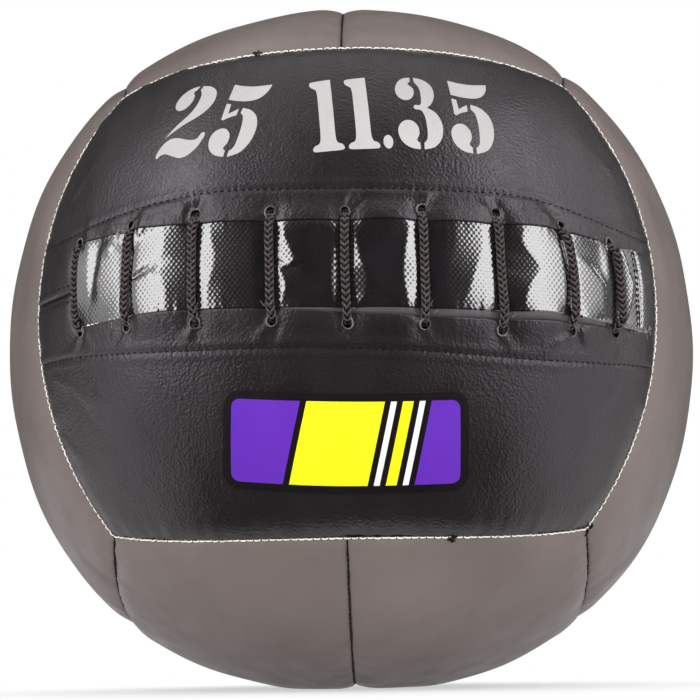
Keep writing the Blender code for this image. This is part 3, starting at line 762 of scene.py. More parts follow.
def bays(u, v):
    """Height of the tongue between its edges, before it is smoothed."""
    rows = [np.interp(u, *np.array((*before_first_bay, *row)).T * MM) for _, row in first_bay]
    levels = [level * MM for level, _ in first_bay]
    height = rows[0]
    for k in range(len(rows) - 1):
        share = np.clip((v - levels[k]) / (levels[k + 1] - levels[k]), 0, 1)
        height = height + (rows[k + 1] - rows[k]) * share
    lines = list(lace_lines(v))
    for number, (left, right) in enumerate(tongue_sides):
        if left is None:
            continue
        over = bay_side(u - lines[number] - lace_side, v, *left)
        if right is not None:
            over = np.minimum(over, bay_side(lines[number + 1] - lace_side - u, v, *right))
        height = np.where(u > lines[number], tongue_foot + over, height)
    # A groove under each lace, and the corner right of the second one
    for line in lines[1:last_lace]:
        height = height - under_lace * bell(u - line, under_lace_wide)
    corner = np.maximum(v - bay_corner[1] - corner_lean * (u - bay_corner[0]), 0)
    return height + corner_slope * corner * (u > lines[1] + 1 * MM)


def swell(u, v):
    """Height of the tongue between its edges."""
    height = 0
    for aside in (-0.7, 0, 0.7):
        for above in (-0.8, 0, 0.8):
            weight = (2 - (aside != 0)) * (2 - (above != 0)) / 16
            height = height + weight * bays(u + aside * MM, v + above * MM)
    return height


def lip_height(u, side):
    """Height of the leather along the slit's upper edge, or its lower one, over the tongue."""
    level = side * through(upper_edge if side > 0 else lower_edge, u)
    height = sum(bays(u + aside * MM, level) for aside in (-4, -2, 0, 2, 4)) / 5
    return np.maximum(height, -lip_gap / 2) + lip_gap


def front_form(u, v):
    """Height that the opening adds to the front leather, v up from the middle of the face."""
    height = 0
    for stitches, side in ((upper_stitches, 1), (lower_stitches, -1)):
        away = v - side * through(stitches, u)
        height = height - topstitch_sink * bell(away, topstitch_groove)
        height = height + topstitch_ridge * bell(np.abs(away) - ridge_away, ridge_wide)
        height = height - (topstitch_dent * np.cos(2 * math.pi * u / topstitch_pitch)
                           * bell(away, ridge_wide))
    top, bottom = through(upper_edge, u), -through(lower_edge, u)
    beside = np.maximum(v - top, bottom - v)
    within = step_up(u - slit_left, lip_fade) * step_up(slit_right - u, lip_fade)
    lip = bell(np.maximum(beside, 0), lip_reach) * within
    height = height + lip * np.where(v > 0, lip_height(u, 1), lip_height(u, -1))
    behind = bell(np.maximum(beside - wrinkled, 0), wrinkle_fade)
    wrinkles = (ripple(u + 0.15 * v, (3.1 * MM, 4.7 * MM, 6.9 * MM), 5)
                * ripple(v - 0.2 * u, (9 * MM, 14 * MM, 23 * MM), 6))
    height = height + wrinkle_rise * wrinkles * behind
    for hole_u, hole_v, radius in np.concatenate((upper_holes, lower_holes)):
        away = np.hypot(u - hole_u, v - hole_v)
        height = height - hole_sink * bell(away, hole_sink_reach)
        height = height + hole_lip * bell(away - radius, hole_lip_wide)
    # The first lace lies in a groove along the slit's left end
    groove = bell(u - next(lace_lines(v)), groove_wide)
    height = height - first_groove * groove * step_up(groove_reach - np.abs(v), 1.0 * MM)
    for start, stop, width, rise in hole_folds:
        height = height + fold_share * fold(u, v, start, stop, width, rise)
    return height


def front_height(u, v):
    """Height of the front leather off the skin, v up from the middle of the face."""
    forms = [seam_form(u, np.abs(v), 20 + side) for side in (1, -1)]
    return np.where(v >= 0, *forms) + front_form(u, v)


def punched(u, v, holes):
    """Moves the grid's points near each hole onto its rim, and says which faces to leave out."""
    left_out = np.zeros((u.shape[0] - 1, u.shape[1] - 1), bool)
    middle_u = (u[:-1, :-1] + u[1:, 1:]) / 2
    middle_v = (v[:-1, :-1] + v[1:, 1:]) / 2
    for hole_u, hole_v, radius in holes:
        away = np.hypot(middle_u - hole_u, middle_v - hole_v)
        inside = away < radius
        left_out |= inside
        gone = np.zeros(u.shape, bool)
        kept = np.zeros(u.shape, bool)
        for rows in (slice(None, -1), slice(1, None)):
            for columns in (slice(None, -1), slice(1, None)):
                gone[rows, columns] |= inside
                kept[rows, columns] |= ~inside
        rim = gone & kept
        off_u, off_v = u[rim] - hole_u, v[rim] - hole_v
        size = np.hypot(off_u, off_v)
        u[rim], v[rim] = hole_u + off_u / size * radius, hole_v + off_v / size * radius
    return left_out


# The front strips' points lie closer than the others', and closest beside the slit
front_step, slit_step = 1.6 * MM, 0.8 * MM
slit_reach = 26 * MM           # width of the band of closest points
beside_slit = long_seam(0) - 18 * MM
first = stations(slit_left + along_end, front_step, (True, False)) * (slit_left + along_end)
last = stations(along_end - slit_right, front_step, (False, True)) * (along_end - slit_right)
columns = np.concatenate((first - along_end, np.linspace(slit_left, slit_right, 300)[1:-1],
                          slit_right + last)) / along_end
opened = ((columns[:-1] > slit_left / along_end - 1e-6)
          & (columns[1:] < slit_right / along_end + 1e-6))
low = stations(20 * MM, 1.4 * MM, (True, False))
far = stations(beside_slit - slit_reach, 1.8 * MM, (False, True)) * (beside_slit - slit_reach)
high = np.concatenate((np.arange(0, slit_reach, slit_step), slit_reach + far)) / beside_slit

for name, knots, holes, side in (("front_upper", upper_edge, upper_holes, 1),
                                 ("front_lower", lower_edge, lower_holes, -1)):
    u, v = strip_grid(columns, low, high, lambda u: through(knots, u))
    left_out = punched(u, v, holes * (1, side, 1))
    left_out[:len(low) - 1, opened] = True
    height = seam_form(u, v, 20 + side) + front_form(u, side * v)
    # Its edge along the slit is pared down, so that it lies close on the tongue
    pared = bell(np.maximum(v - through(knots, u), 0), pared_reach)
    pared = pared * (u > slit_left - 1 * MM) * (u < slit_right + 1 * MM)
    panel = sheet(name + "_leather", on_skin(strips[name], u, v, height), black_leather, left_out,
                  1 - pared)
    thicken(panel, leather_thickness)
    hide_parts(name + "_panel")

front_face = strips["front_upper"]     # whose u and v are those of the whole face

# The cut edges of the holes: rolled up and polished by the laces, so that they catch the light
# Paler than the leather: partly the worn edge, partly painted glint
hole_rims = leather_finish("worn_hole_edge_and_painted_glint", "#302C2E", "#6A6467", 0.18, 1.0, 0.04 * MM)
rim_lift = 0.02 * MM           # over the leather
around = np.linspace(0, 2 * math.pi, 41)
rims, widths = [], []
for hole_u, hole_v, radius in np.concatenate((upper_holes, lower_holes)):
    wide = radius + 0.15 * MM + 0.16 * MM * np.cos(2 * around + hole_u * 900)
    u, v = hole_u + 0.94 * wide * np.cos(around), hole_v + 1.06 * wide * np.sin(around)
    rims.append(on_skin(front_face, u, v, front_height(u, v) + rim_lift))
    widths.append((0.26 + 0.18 * np.sin(around + hole_u * 700)) * MM)
lips = rods("hole_edges", rims, np.array(widths), hole_rims, 8)


# The seams. The panels are sewn inside out with bonded polyester thread, so that only short bars of
# it show between the rolled edges once the ball is turned and stuffed: white where black meets
# grey, black between two panels of one colour.

def thread_finish(name, dark, light):
    """Twisted polyester thread: dull, with a little shine along its plies."""
    material, tree, shader = new_finish(name, Roughness=0.7, Specular_IOR_Level=0.3)
    drive(tree, shader, Base_Color=mottle(tree, 5 * MM, dark, light))
    return material


def stitch_lines(face, u, v, height, pitch, share, sink, seed):
    """Bars of thread along a line of closely spaced places. Each dives into the leather at its
    ends."""
    points = on_skin(face, u, v, height)
    place = np.concatenate(([0], np.cumsum(np.linalg.norm(np.diff(points, axis=0), axis=1))))
    count = int(place[-1] / pitch)
    draw = np.random.default_rng(seed)
    middles = (np.arange(count) + 0.5) * place[-1] / count
    middles = middles + draw.uniform(-0.06, 0.06, count) * pitch
    lengths = share * pitch * draw.uniform(0.86, 1.08, count)
    steps = np.array((-0.5, -0.46, -0.3, 0, 0.3, 0.46, 0.5))
    drop = np.array((1.0, 0.55, 0.1, 0, 0.1, 0.55, 1.0)) * sink
    at = middles[:, None] + lengths[:, None] * steps
    bend = draw.uniform(-0.12, 0.12, count)[:, None] * MM * (1 - (2 * steps) ** 2)
    line_u, line_v = np.interp(at, place, u), np.interp(at, place, v)
    return on_skin(face, line_u, line_v + bend, np.interp(at, place, height) - drop)


white_thread = thread_finish("white_polyester_thread", "#D6D1C8", "#F2EFE8")
black_thread = thread_finish("black_polyester_thread", "#0E0C0D", "#191617")

seam_thread = 0.37 * MM        # half its thickness
topstitch_thread = 0.30 * MM
thread_flat = 0.8              # how flat a pulled stitch lies
bar_share = 0.80               # of the stitch's pitch that shows as a bar
bar_sink = 0.5 * MM            # how deep its ends dive
tab_cover = 36 * MM            # how far the tongue's tab covers the seam right of the slit


def seam_bars(name, seams, material, rise, seed):
    """The stitches of several seams, that far over the seams' floor."""
    lines = []
    for number, (strip, u, v) in enumerate(seams):
        height = np.full(u.shape, -seam_dip + rise)
        height = height + 0.12 * MM * ripple(u + v, (6 * MM, 17 * MM), seed + number)
        lines.append(stitch_lines(strips[strip], u, v, height, stitch_pitch, bar_share,
                                  bar_sink, seed + number))
    rods(name, np.concatenate(lines), seam_thread, material, flat=thread_flat)


long_line = (long_seam_u, long_seam_v)
mid_u = np.linspace(-along_end, along_end, 801)
seam_bars("white_seam_thread", [(strip, *long_line) for strip in
                                ("front_upper", "front_lower", "back_upper", "back_lower",
                                 "left_front", "left_back", "right_front", "right_back")],
          white_thread, 0.32 * MM, 100)
dark_seams = [(strip, *long_line) for strip in ("top_left", "top_right",
                                                "bottom_left", "bottom_right")]
dark_seams += [(strip, mid_u, 0 * mid_u) for strip in ("top_left", "bottom_left", "left_front",
                                                       "right_front", "back_upper")]
front_left = np.linspace(-along_end, slit_left - 3 * MM, 101)
front_right = np.linspace(slit_right + tab_cover, along_end, 41)
dark_seams += [("front_upper", line, 0 * line) for line in (front_left, front_right)]
seam_bars("black_seam_thread", dark_seams, black_thread, -0.20 * MM, 200)

# The topstitching beside the slit, and the two rows that hold the seam flat left of it
rows = []
for knots, side in ((upper_stitches, 1), (lower_stitches, -1)):
    u = np.linspace(-along_end, along_end, 1601)
    v = side * through(knots, u)
    inside = np.abs(u) < end_seam(v) - 2.5 * MM
    rows.append((u[inside], v[inside]))
u = np.linspace(-along_end + 2 * MM, slit_left - 5 * MM, 201)
rows += [(u, 0 * u + level) for level in (3.4 * MM, -4.0 * MM)]
lines = [stitch_lines(front_face, u, v, front_height(u, v) + 0.16 * MM,
                      topstitch_pitch, 0.62, bar_sink, 300 + number)
         for number, (u, v) in enumerate(rows)]
rods("black_topstitching", np.concatenate(lines), topstitch_thread, black_thread,
     flat=thread_flat)


def tangle(face, middle, count, size, height, seed):
    """Short curled ends of thread round a place."""
    draw = np.random.default_rng(seed)
    lines = []
    for _ in range(count):
        turn = draw.uniform(0, 2 * math.pi)
        bend = draw.uniform(-1.6, 1.6)
        share = np.linspace(0, 1, 9)
        way = turn + bend * share
        step = draw.uniform(0.6, 1.0) * size / 8
        u = middle[0] + np.cumsum(np.cos(way)) * step + draw.uniform(-0.25, 0.25) * size
        v = middle[1] + np.cumsum(np.sin(way)) * step + draw.uniform(-0.15, 0.15) * size
        rise = height + draw.uniform(0.1, 0.8) * MM * np.sin(math.pi * share)
        lines.append(on_skin(face, u, v, rise))
    return lines


# Where a seam was closed by hand its thread is tied off in a small dark knot
knot_places = np.array(((-47.8, 118.1), (56.7, -117.8), (142.0, -113.6))) * MM
knot_size, knot_ends = 3.2 * MM, 7
lines = []
for number, (u, v) in enumerate(knot_places):
    seam_v = math.copysign(long_seam(u), v)
    lines += tangle(front_face, (u - 1 * MM, seam_v), knot_ends, knot_size,
                    -seam_dip + 0.5 * MM, 400 + number)
rods("thread_knots", lines, 0.36 * MM, black_thread)


# The lacing. A facing of woven tape is sewn behind each edge of the slit. The tongue lies behind
# both: a scrim of polyester yarns between two coats of glossy black vinyl, which keeps the
# diamonds of the scrim on its face. The laces hold it down and it swells between them.

facing_reach, facing_hem = 147 * MM, 9.1 * MM
facing_height, facing_thickness = -3.5 * MM, 1.2 * MM
facing_inset = 2.2 * MM        # from the slit's edge
facing_taper = 9 * MM          # how much narrower its ends are

# Woven polyester tape: flat, matt, grey
woven_tape = cloth_finish("woven_polyester_tape", 0.8 * MM, "#3C3A3B", "#4A4748", 0.85)

for name, knots, holes, side in (("upper_lacing", upper_edge, upper_holes, 1),
                                 ("lower_lacing", lower_edge, lower_holes, -1)):
    u = np.linspace(-facing_reach, facing_reach, 340)[None, :]
    start = through(knots, u) + facing_inset
    narrower = facing_taper * np.clip((np.abs(u) - 128 * MM) / (19 * MM), 0, 1)
    stop = through(knots, u) + 8 * MM + facing_hem - narrower
    v = start + (stop - start) * np.linspace(0, 1, 18)[:, None]
    u = u + 0 * v
    left_out = punched(u, v, holes * (1, side, 1))
    facing = sheet(name + "_tape", on_skin(front_face, u, side * v, facing_height),
                   woven_tape, left_out)
    thicken(facing, facing_thickness)
    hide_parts(name + "_facing")

tongue_bottom = np.array(((-165, 17.0), (-123, 17.1), (-111, 17.2), (-99, 16.7), (-84, 16.4),
                          (-65, 17.4), (-43, 18.6), (-25, 19.5), (0, 20.3), (45, 20.4),
                          (67, 20.0), (95, 18.4), (105, 19.2), (116, 19.4), (125, 19.7),
                          (143, 20.6), (156, 19.0), (165, 19.0))) * MM
tab_top = np.array(((-165, 21), (96, 17.9), (104, 15.8), (118, 14.3), (131, 13.6), (140, 15.6),
                    (151, 16.6), (165, 16.6))) * MM
tab_stop = 152.6 * MM
tab_starts = 118.6 * MM
tab_corner = 6 * MM
# Places along the pleat, and along the right edge of the bright blade beside the last lace
tab_pleat = np.array(((-20, 140.3), (-10, 140.2), (0, 141.0), (10, 139.6), (16, 139.0))) * MM
tab_blade = np.array(((-18, 131.5), (-15, 133.0), (-10, 135.0), (-5, 136.3), (0, 137.3),
                      (5, 135.0), (12, 133.0), (16, 131.0))) * MM
tab_left, tab_right = 1.0 * MM, 0.9 * MM   # its height over the skin, left and right of the pleat
tab_crease = 0.8 * MM
tab_step = 0.9 * MM            # down from the last lace to the blade
tab_step_place = 126 * MM
blade_start = 129.8 * MM
pleat_foot = 2.6 * MM          # from the end of the dark slope to the pleat
blade_slope, dark_slope, tail_slope = 0.02, 0.25, 0.07
tail_reach = 3.4 * MM          # how far right of the pleat the tab still rises
tab_under_lace, tab_edge_drop = 0.7 * MM, 0.6 * MM
tongue_under = 0.42 * MM       # from the leather's face down to the tongue's edges
tongue_grid = 0.42 * MM
tongue_thickness = 0.8 * MM
diamond_width, diamond_height = 2.2 * MM, 2.7 * MM
diamond_rise = 0.12 * MM
tab_worn = 0.05 * MM           # how much less they rise on the tab

# Start, end, width and height of each fold of the tongue
tongue_folds = (
    ((-107, 18.2), (-98, 18.6), 1.8, 0.8), ((-106, 14.5), (-98, 14.5), 2.2, -0.5),
    ((-93, -1), (-76, 5.5), 2.2, -1.0), ((-84, 1), (-76, -4), 1.4, -0.2),
    ((-28, 0.6), (-18, -4.4), 1.5, -0.5),
    ((64, -0.5), (82, -2.5), 3.0, -0.4),
)

# How the tongue dives from the slit's edge down to its wings behind the facings
wing_out = np.array((0, 0.6, 1.1, 1.5, 1.8, 2.1, 2.6, 3.4, 6, 11)) * MM
wing_drop = np.array((0, 0.05, 0.17, 0.36, 0.57, 0.78, 0.90, 0.96, 0.98, 1.0))
wing_height = -11.1 * MM


def diamonds(u, v):
    """Rows of small scales, each row set off by half a scale: 1 at the middle of each."""
    across, up = u / diamond_width, v / diamond_height
    return np.sqrt(np.abs(np.cos(math.pi * (across + up)) * np.cos(math.pi * (across - up))))


def tongue_form(u, v, share):
    """Height of the tongue off the skin, at a share from its lower edge to its upper one."""
    slit_v = np.where(share > 0.5, through(upper_edge, u), -through(lower_edge, u))
    edge = front_height(u, slit_v) - tongue_under
    crown = 1 - np.abs(2 * np.clip(share, 0, 1) - 1) ** 6
    height = edge + (swell(u, v) - edge) * crown
    for start, stop, width, rise in tongue_folds:
        height = height + fold(u, v, start, stop, width, rise) * crown
    # The tab: a bright blade right of the last lace, a dark slope, then the pleat
    pleat = through(tab_pleat, v, (1.5 * MM,))
    blade = through(tab_blade, v, (1.0 * MM,))
    left = (tab_left + blade_slope * (np.clip(u, blade_start, blade) - blade_start)
            + dark_slope * np.maximum(np.clip(u, blade, pleat - pleat_foot) - blade, 0)
            + tab_step * step_up(tab_step_place - u, 0.8 * MM))
    right = tab_right + tail_slope * np.clip(u - pleat, 0, tail_reach)
    on_right = step_up(u - pleat, 0.2 * MM)
    on_top = left * (1 - on_right) + right * on_right
    on_top = on_top - tab_crease * bell(u - pleat, 0.45 * MM)
    on_top = on_top - tab_under_lace * lace_grip(u, v, 3.2 * MM)
    on_top = on_top - tab_edge_drop * np.abs(2 * np.clip(share, 0, 1) - 1) ** 8
    tab = step_up(u - tab_starts, 1.2 * MM)
    height = height * (1 - tab) + on_top * tab
    return height + (diamond_rise - tab_worn * tab) * (diamonds(u, v) - 0.5)


def scrim_finish():
    """Coated scrim: black, wet-looking, with faint scratches and a faintly patchy tone."""
    material, tree, shader = new_finish("vinyl_coated_scrim", Roughness=0.24,
                                        Specular_IOR_Level=1.0, Coat_Weight=1.0,
                                        Coat_Roughness=0.12, Coat_IOR=2.0,
                                        Specular_Tint=(1.0, 0.96, 1.0, 1))
    wear = clouds(tree, place_on(tree), 1.1 * MM, 4.0)
    drive(tree, shader, Base_Color=mottle(tree, 12 * MM, "#151214", "#1C181B"),
          Normal=embossed(tree, wear, 0.35, 0.05 * MM))
    return material


coated_scrim = scrim_finish()

tongue_u = np.arange(-131 * MM, tab_stop, tongue_grid)
on_face = np.linspace(0, 1, 88)
wings = np.concatenate((-wing_out[:0:-1], 0 * on_face, wing_out[1:]))[:, None]
drops = np.concatenate((wing_drop[:0:-1], 0 * on_face, wing_drop[1:]))[:, None]
share = np.concatenate((0 * wing_out[1:], on_face, 0 * wing_out[1:] + 1))[:, None]
u = np.broadcast_to(tongue_u[None, :], (len(share), len(tongue_u))).copy()
over = u > tab_starts
low_v = -through(tongue_bottom, u)
high_v = np.where(over, through(tab_top, u), through(upper_edge, u))
round_off = np.maximum(0, u - (tab_stop - tab_corner)) / tab_corner
corner = tab_corner * (1 - np.sqrt(np.maximum(0, 1 - round_off ** 2)))
low_v, high_v = low_v + corner, high_v - 0.35 * corner
# The tab lies on the leather, so its wings are drawn in to its edges
wings = np.where(over, wings * 0.02, wings)
v = low_v + (high_v - low_v) * share + wings
height = tongue_form(u, v, share)
height = np.where(over, height, height + (wing_height - height) * drops)
tongue = sheet("tongue", on_skin(front_face, u, v, height), coated_scrim)
thicken(tongue, tongue_thickness)
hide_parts("lacing_tongue")

# The pleat across the tab is held by two rows of black stitches
tab_pitch, tab_sink = 2.6 * MM, 0.4 * MM
rows = []
for aside in (-2.3 * MM, -1.0 * MM):
    v = np.linspace(-19.0 * MM, 14.5 * MM, 201)
    u = through(tab_pleat, v, (1.5 * MM,)) + aside
    share = (v + through(tongue_bottom, u)) / (through(tab_top, u) + through(tongue_bottom, u))
    rows.append(stitch_lines(front_face, u, v, tongue_form(u, v, share) + 0.12 * MM, tab_pitch,
                             0.6, tab_sink, 320 + len(rows)))
rods("tab_stitches", np.concatenate(rows), topstitch_thread, black_thread, flat=thread_flat)

# Two white stitches and a few loose fibres show along the cut edges
fibre_radius = 0.055 * MM
lines = []
draw = np.random.default_rng(60)
for _ in range(80):
    u = draw.uniform(-120, 118) * MM
    low_edge = u < 0 or draw.uniform() < 0.3
    v = -through(tongue_bottom, u) + 0.3 * MM if low_edge else through(upper_edge, u)
    lines += tangle(front_face, (u, v + draw.uniform(-0.6, 0.8) * MM), 1, 3.4 * MM, 0.2 * MM,
                    int(draw.integers(1000)))
for _ in range(26):
    lines += tangle(front_face, (draw.uniform(-106, -99) * MM, draw.uniform(18.5, 21.5) * MM), 1,
                    4.0 * MM, 0.6 * MM, int(draw.integers(1000)))
    lines += tangle(front_face, (draw.uniform(131, 151) * MM, draw.uniform(-20.5, -19.0) * MM), 1,
                    2.2 * MM, 1.6 * MM, int(draw.integers(1000)))
fibre = thread_finish("loose_polyester_fibre", "#8C8684", "#C9C4C2")
rods("loose_fibres", lines, fibre_radius, fibre, 4)
u = np.linspace(-119.5, -111.5, 60) * MM
lines = stitch_lines(front_face, u, 0 * u - 16.8 * MM, 0 * u - 0.1 * MM, tab_pitch, 0.7, tab_sink,
                     330)
rods("white_edge_stitches", lines, 0.34 * MM, white_thread, flat=thread_flat)


# The binding: a narrow band of grey vinyl, folded over the right half of the tongue's lower edge
# and sewn down with it. It shows between the tongue and the leather.

binding_left, binding_right = -26 * MM, 124 * MM
binding_thickness = 0.5 * MM
grey_band = leather_finish("grey_vinyl_band", "#3B383A", "#464346", 0.42, 0.45, 0.05 * MM)
band_u = np.linspace(binding_left, binding_right, 420)
band_top = -through(tongue_bottom, band_u)
band_low = -through(lower_edge, band_u) - 0.6 * MM
# Its rounded cross-section: shares of the way down it, and the height there over the leather
band_shares = np.array((-0.12, 0.0, 0.08, 0.3, 0.55, 0.8, 1.0))
band_lift = np.array((-0.9, -0.35, 0.25, 0.45, 0.30, 0.0, -1.2)) * MM
u = np.broadcast_to(band_u, (len(band_shares), len(band_u)))
v = band_top + (band_low - band_top) * band_shares[:, None]
height = band_lift[:, None] + front_height(u, -through(lower_edge, u)) - leather_thickness
binding = sheet("tongue_edge_binding", on_skin(front_face, u, v, height), grey_band)
thicken(binding, binding_thickness)
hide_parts("tongue_binding")


# The lace: one round braid of eight strands, about 4.4 mm thick, which goes up one hole and down
# the next. Its bars cross the tongue, and its short runs between holes lie behind the facings.

braid_lay = 10.4 * MM          # length in which a strand goes once round
braid_radius = 1.28 * MM       # of the strands' paths
strand_width = 0.54 * MM       # half of it
core_width = 1.0 * MM
strand_weave = 0.46 * MM       # how far a strand goes over and under the others
strand_sides = 8
hidden_depth = -7.9 * MM       # of the runs behind the facings


def cord_finish():
    """Spun polyester cord: dark brown-grey, dull, slanted yarns; painted shade in its hollows."""
    material, tree, shader = new_finish("braided_polyester", Roughness=0.62, Sheen_Weight=0.04,
                                        Sheen_Roughness=0.4, Specular_IOR_Level=0.3,
                                        Sheen_Tint=from_hex("#9A8E84"))
    yarns = mottle(tree, 1.2 * MM, "#373131", "#534B4A")
    out_for_painted_shade = add_node(tree, "ShaderNodeAttribute", attribute_name="out_for_painted_shade")
    shown = add_node(tree, "ShaderNodeMapRange", {"From Min": 1.30, "From Max": 1.90},
                     {"Value": out_for_painted_shade.outputs["Fac"]})
    # Painted shade: near black up to 1.3 mm out from the lace's middle, gone by 1.9 mm
    colour = add_node(tree, "ShaderNodeMix", {"A": from_hex("#120F0E")},
                      {"Factor": shown.outputs["Result"], "B": yarns}, data_type="RGBA")
    spun = clouds(tree, place_on(tree), 0.35 * MM, 2.0)
    drive(tree, shader, Base_Color=colour.outputs["Result"],
          Normal=embossed(tree, spun, 0.6, 0.15 * MM))
    return material


def smooth_line(points, count):
    """A line of evenly spaced points on a smooth curve through the given ones."""
    points = np.asarray(points, float)
    knots = np.concatenate(([0], np.cumsum(np.linalg.norm(np.diff(points, axis=0), axis=1))))
    fine = np.linspace(0, knots[-1], count * 4)
    line = np.stack([np.interp(fine, knots, points[:, k]) for k in range(3)], -1)
    for _ in range(40):
        line[1:-1] = (line[:-2] + 2 * line[1:-1] + line[2:]) / 4
    run = np.concatenate(([0], np.cumsum(np.linalg.norm(np.diff(line, axis=0), axis=1))))
    even = np.linspace(0, run[-1], count)
    return np.stack([np.interp(even, run, line[:, k]) for k in range(3)], -1), run[-1]


def braid(name, line, length, material, roll):
    """Eight strands round a line and its core, four each way, each over two and under two."""
    side, top = square_to(line, line - centre)
    way = 2 * math.pi * np.linspace(0, length, len(line)) / braid_lay
    lines, outs, widths = [line], [top], [core_width + 0 * way]
    for k in range(4):
        for direction in (1, -1):
            angle = direction * way + k * math.pi / 2
            radius = braid_radius - direction * strand_weave * np.sin(2 * (angle - roll))
            out = side * np.cos(angle)[:, None] + top * np.sin(angle)[:, None]
            lines.append(line + out * radius[:, None])
            outs.append(out)
            widths.append(strand_width + 0 * way)
    made = rods(name, lines, np.array(widths), material, strand_sides, 0.85, np.array(outs))
    # How far out each point lies, which sets the painted shade in the hollows between strands
    place = np.array([vertex.co for vertex in made.data.vertices]).reshape(
        len(lines), len(line), strand_sides, 3)
    out_for_painted_shade = np.linalg.norm(place - line[:, None], axis=-1).reshape(-1)
    made.data.attributes.new("out_for_painted_shade", "FLOAT", "POINT").data.foreach_set("value", out_for_painted_shade / MM)
    return made


polyester_cord = cord_finish()
# How high each bar bows over the tongue, then a bar's shares of its way up from hole to hole, its
# drop behind the leather at both ends and its rise between them
lifts = np.array((-2.3, -0.2, -0.2, -0.2, -0.2, -0.2, -0.2, 0.1, 1.2)) * MM
share = np.array((0, 0, 0, 0.045, 0.11, 0.2, 0.35, 0.5, 0.65, 0.8, 0.89, 0.955, 1, 1, 1))
drop = np.array((1, 0.72, 0.3, 0, 0, 0, 0, 0, 0, 0, 0, 0, 0.3, 0.72, 1)) * hidden_depth
rise = np.array((0, 0, 0, 0.6, 2.2, 2.3, 1.8, 1.6, 1.8, 2.3, 2.2, 0.6, 0, 0, 0)) * MM
at_hole = 2.6 * MM             # how far aside the lace leaves a hole
hole_play = 1.3 * MM           # between the lace's middle and the hole's
bars, ends = [], []
for k, (low_hole, high_hole) in enumerate(zip(lower_holes, upper_holes)):
    # Below, lace 2 is joined to lace 3 and so on; above, lace 1 to lace 2
    ways = (1, -1) if k % 2 else (-1, 1)
    height = drop + rise + np.where((share > 0.1) & (share < 0.9), lifts[k], 0)
    u = lace_place(k, share)
    u[0] += ways[0] * at_hole
    u[-1] += ways[1] * at_hole
    v = (low_hole[1] + hole_play) * (1 - share) + (high_hole[1] - hole_play) * share
    line, length = smooth_line(on_skin(front_face, u, v, height), 170)
    bars.append(braid(f"lace_bar_{k + 1}", line, length, polyester_cord,
                      lace_middles[k, 0] / half_width))
    ends.append(((u[0], v[0]), (u[-1], v[-1])))
along_run = np.linspace(0, 1, 9)
for k in range(last_lace):
    start, stop = (np.array(ends[k + j][1 - k % 2]) for j in (0, 1))
    u, v = start[:, None] * (1 - along_run) + stop[:, None] * along_run
    line, length = smooth_line(on_skin(front_face, u, v, hidden_depth + 0 * u), 70)
    bars.append(braid(f"lace_run_{k + 1}", line, length, polyester_cord, 0.0))
for bar in bars:
    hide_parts("lace")


# The prints. The weight is screened on the leather above the slit in off-white ink, in pounds on
# the left and in kilograms on the right. Below the slit a printed vinyl label is pressed on, black
# round its edge, with a plain pattern of slanted bands.

print_grid = 2.5               # millimetres between the cuts that let a print follow the leather


def laid(name, shapes, middle, turn, material, lift, thickness):
    """Flat shapes in millimetres, laid on the front leather round a place and turned there."""
    bm = bmesh.new()
    for shape in shapes:
        bm.faces.new([bm.verts.new((x, y, 0)) for x, y in shape])
    bm.normal_update()
    bmesh.ops.triangulate(bm, faces=bm.faces)
    for axis in (0, 1):
        places = [vert.co[axis] for vert in bm.verts]
        for place in np.arange(math.floor(min(places)), max(places), print_grid)[1:]:
            bmesh.ops.bisect_plane(bm, geom=[*bm.verts, *bm.edges, *bm.faces],
                                   plane_co=[place * (k == axis) for k in range(3)],
                                   plane_no=[float(k == axis) for k in range(3)])
    bm.verts.index_update()
    x, y = np.array([vert.co[:2] for vert in bm.verts]).T * MM
    east, north = np.array(middle) * MM / half_width
    away = np.maximum(np.hypot(x, y), 1e-9)
    sin, cos = math.sin(turn), math.cos(turn)
    along, across = (x * cos - y * sin) / away, (x * sin + y * cos) / away
    out = np.array((math.sin(east) * math.cos(north), math.cos(east) * math.cos(north),
                    math.sin(north)))
    to_east = np.array((math.cos(east), -math.sin(east), 0))
    to_north = np.cross(to_east, out)
    far = (away / half_width)[:, None]
    q = out * np.cos(far) + (along[:, None] * to_east + across[:, None] * to_north) * np.sin(far)
    u, v = half_width * np.arctan2(q[:, 0], q[:, 1]), half_width * np.arcsin(q[:, 2])
    height = front_height(u, v) + lift
    points = np.concatenate([on_skin(front_face, u, v, height - depth)
                             for depth in (0, thickness)])
    tops = [[vert.index for vert in face.verts] for face in bm.faces]
    rims = [[vert.index for vert in edge.verts] for edge in bm.edges if edge.is_boundary]
    below = len(bm.verts)
    bm.free()
    faces = [*tops, *([k + below for k in reversed(top)] for top in tops),
             *([a, a + below, b + below, b] for a, b in rims)]
    made = joined(piece(name, points.tolist(), faces, material))
    made.data.set_sharp_from_angle(angle=math.radians(40))
    return made


def arc(x, y, wide, high, start, stop, count=22):
    """Places on an oval, from one angle in degrees to another."""
    turn = np.radians(np.linspace(start, stop, count))
    return np.stack((x + wide * np.cos(turn), y + high * np.sin(turn)), -1)


def outline(*places):
    """A closed outline, smooth through its places but sharp at those that end in a 1."""
    points = np.array([place[:2] for place in places], float)
    sharp = [len(place) > 2 for place in places]
    made, count = [], len(points)
    for k in range(count):
        before, start, stop, after = (points[(k + j) % count] for j in (-1, 0, 1, 2))
        before = start if sharp[k] else before
        after = stop if sharp[(k + 1) % count] else after
        t = np.linspace(0, 1, 6, endpoint=False)[:, None]
        made.append(start + (stop - before) * t / 2
                    + (before - 2.5 * start + 2 * stop - after / 2) * t ** 2
                    + (1.5 * start - before / 2 - 1.5 * stop + after / 2) * t ** 3)
    return np.concatenate(made)


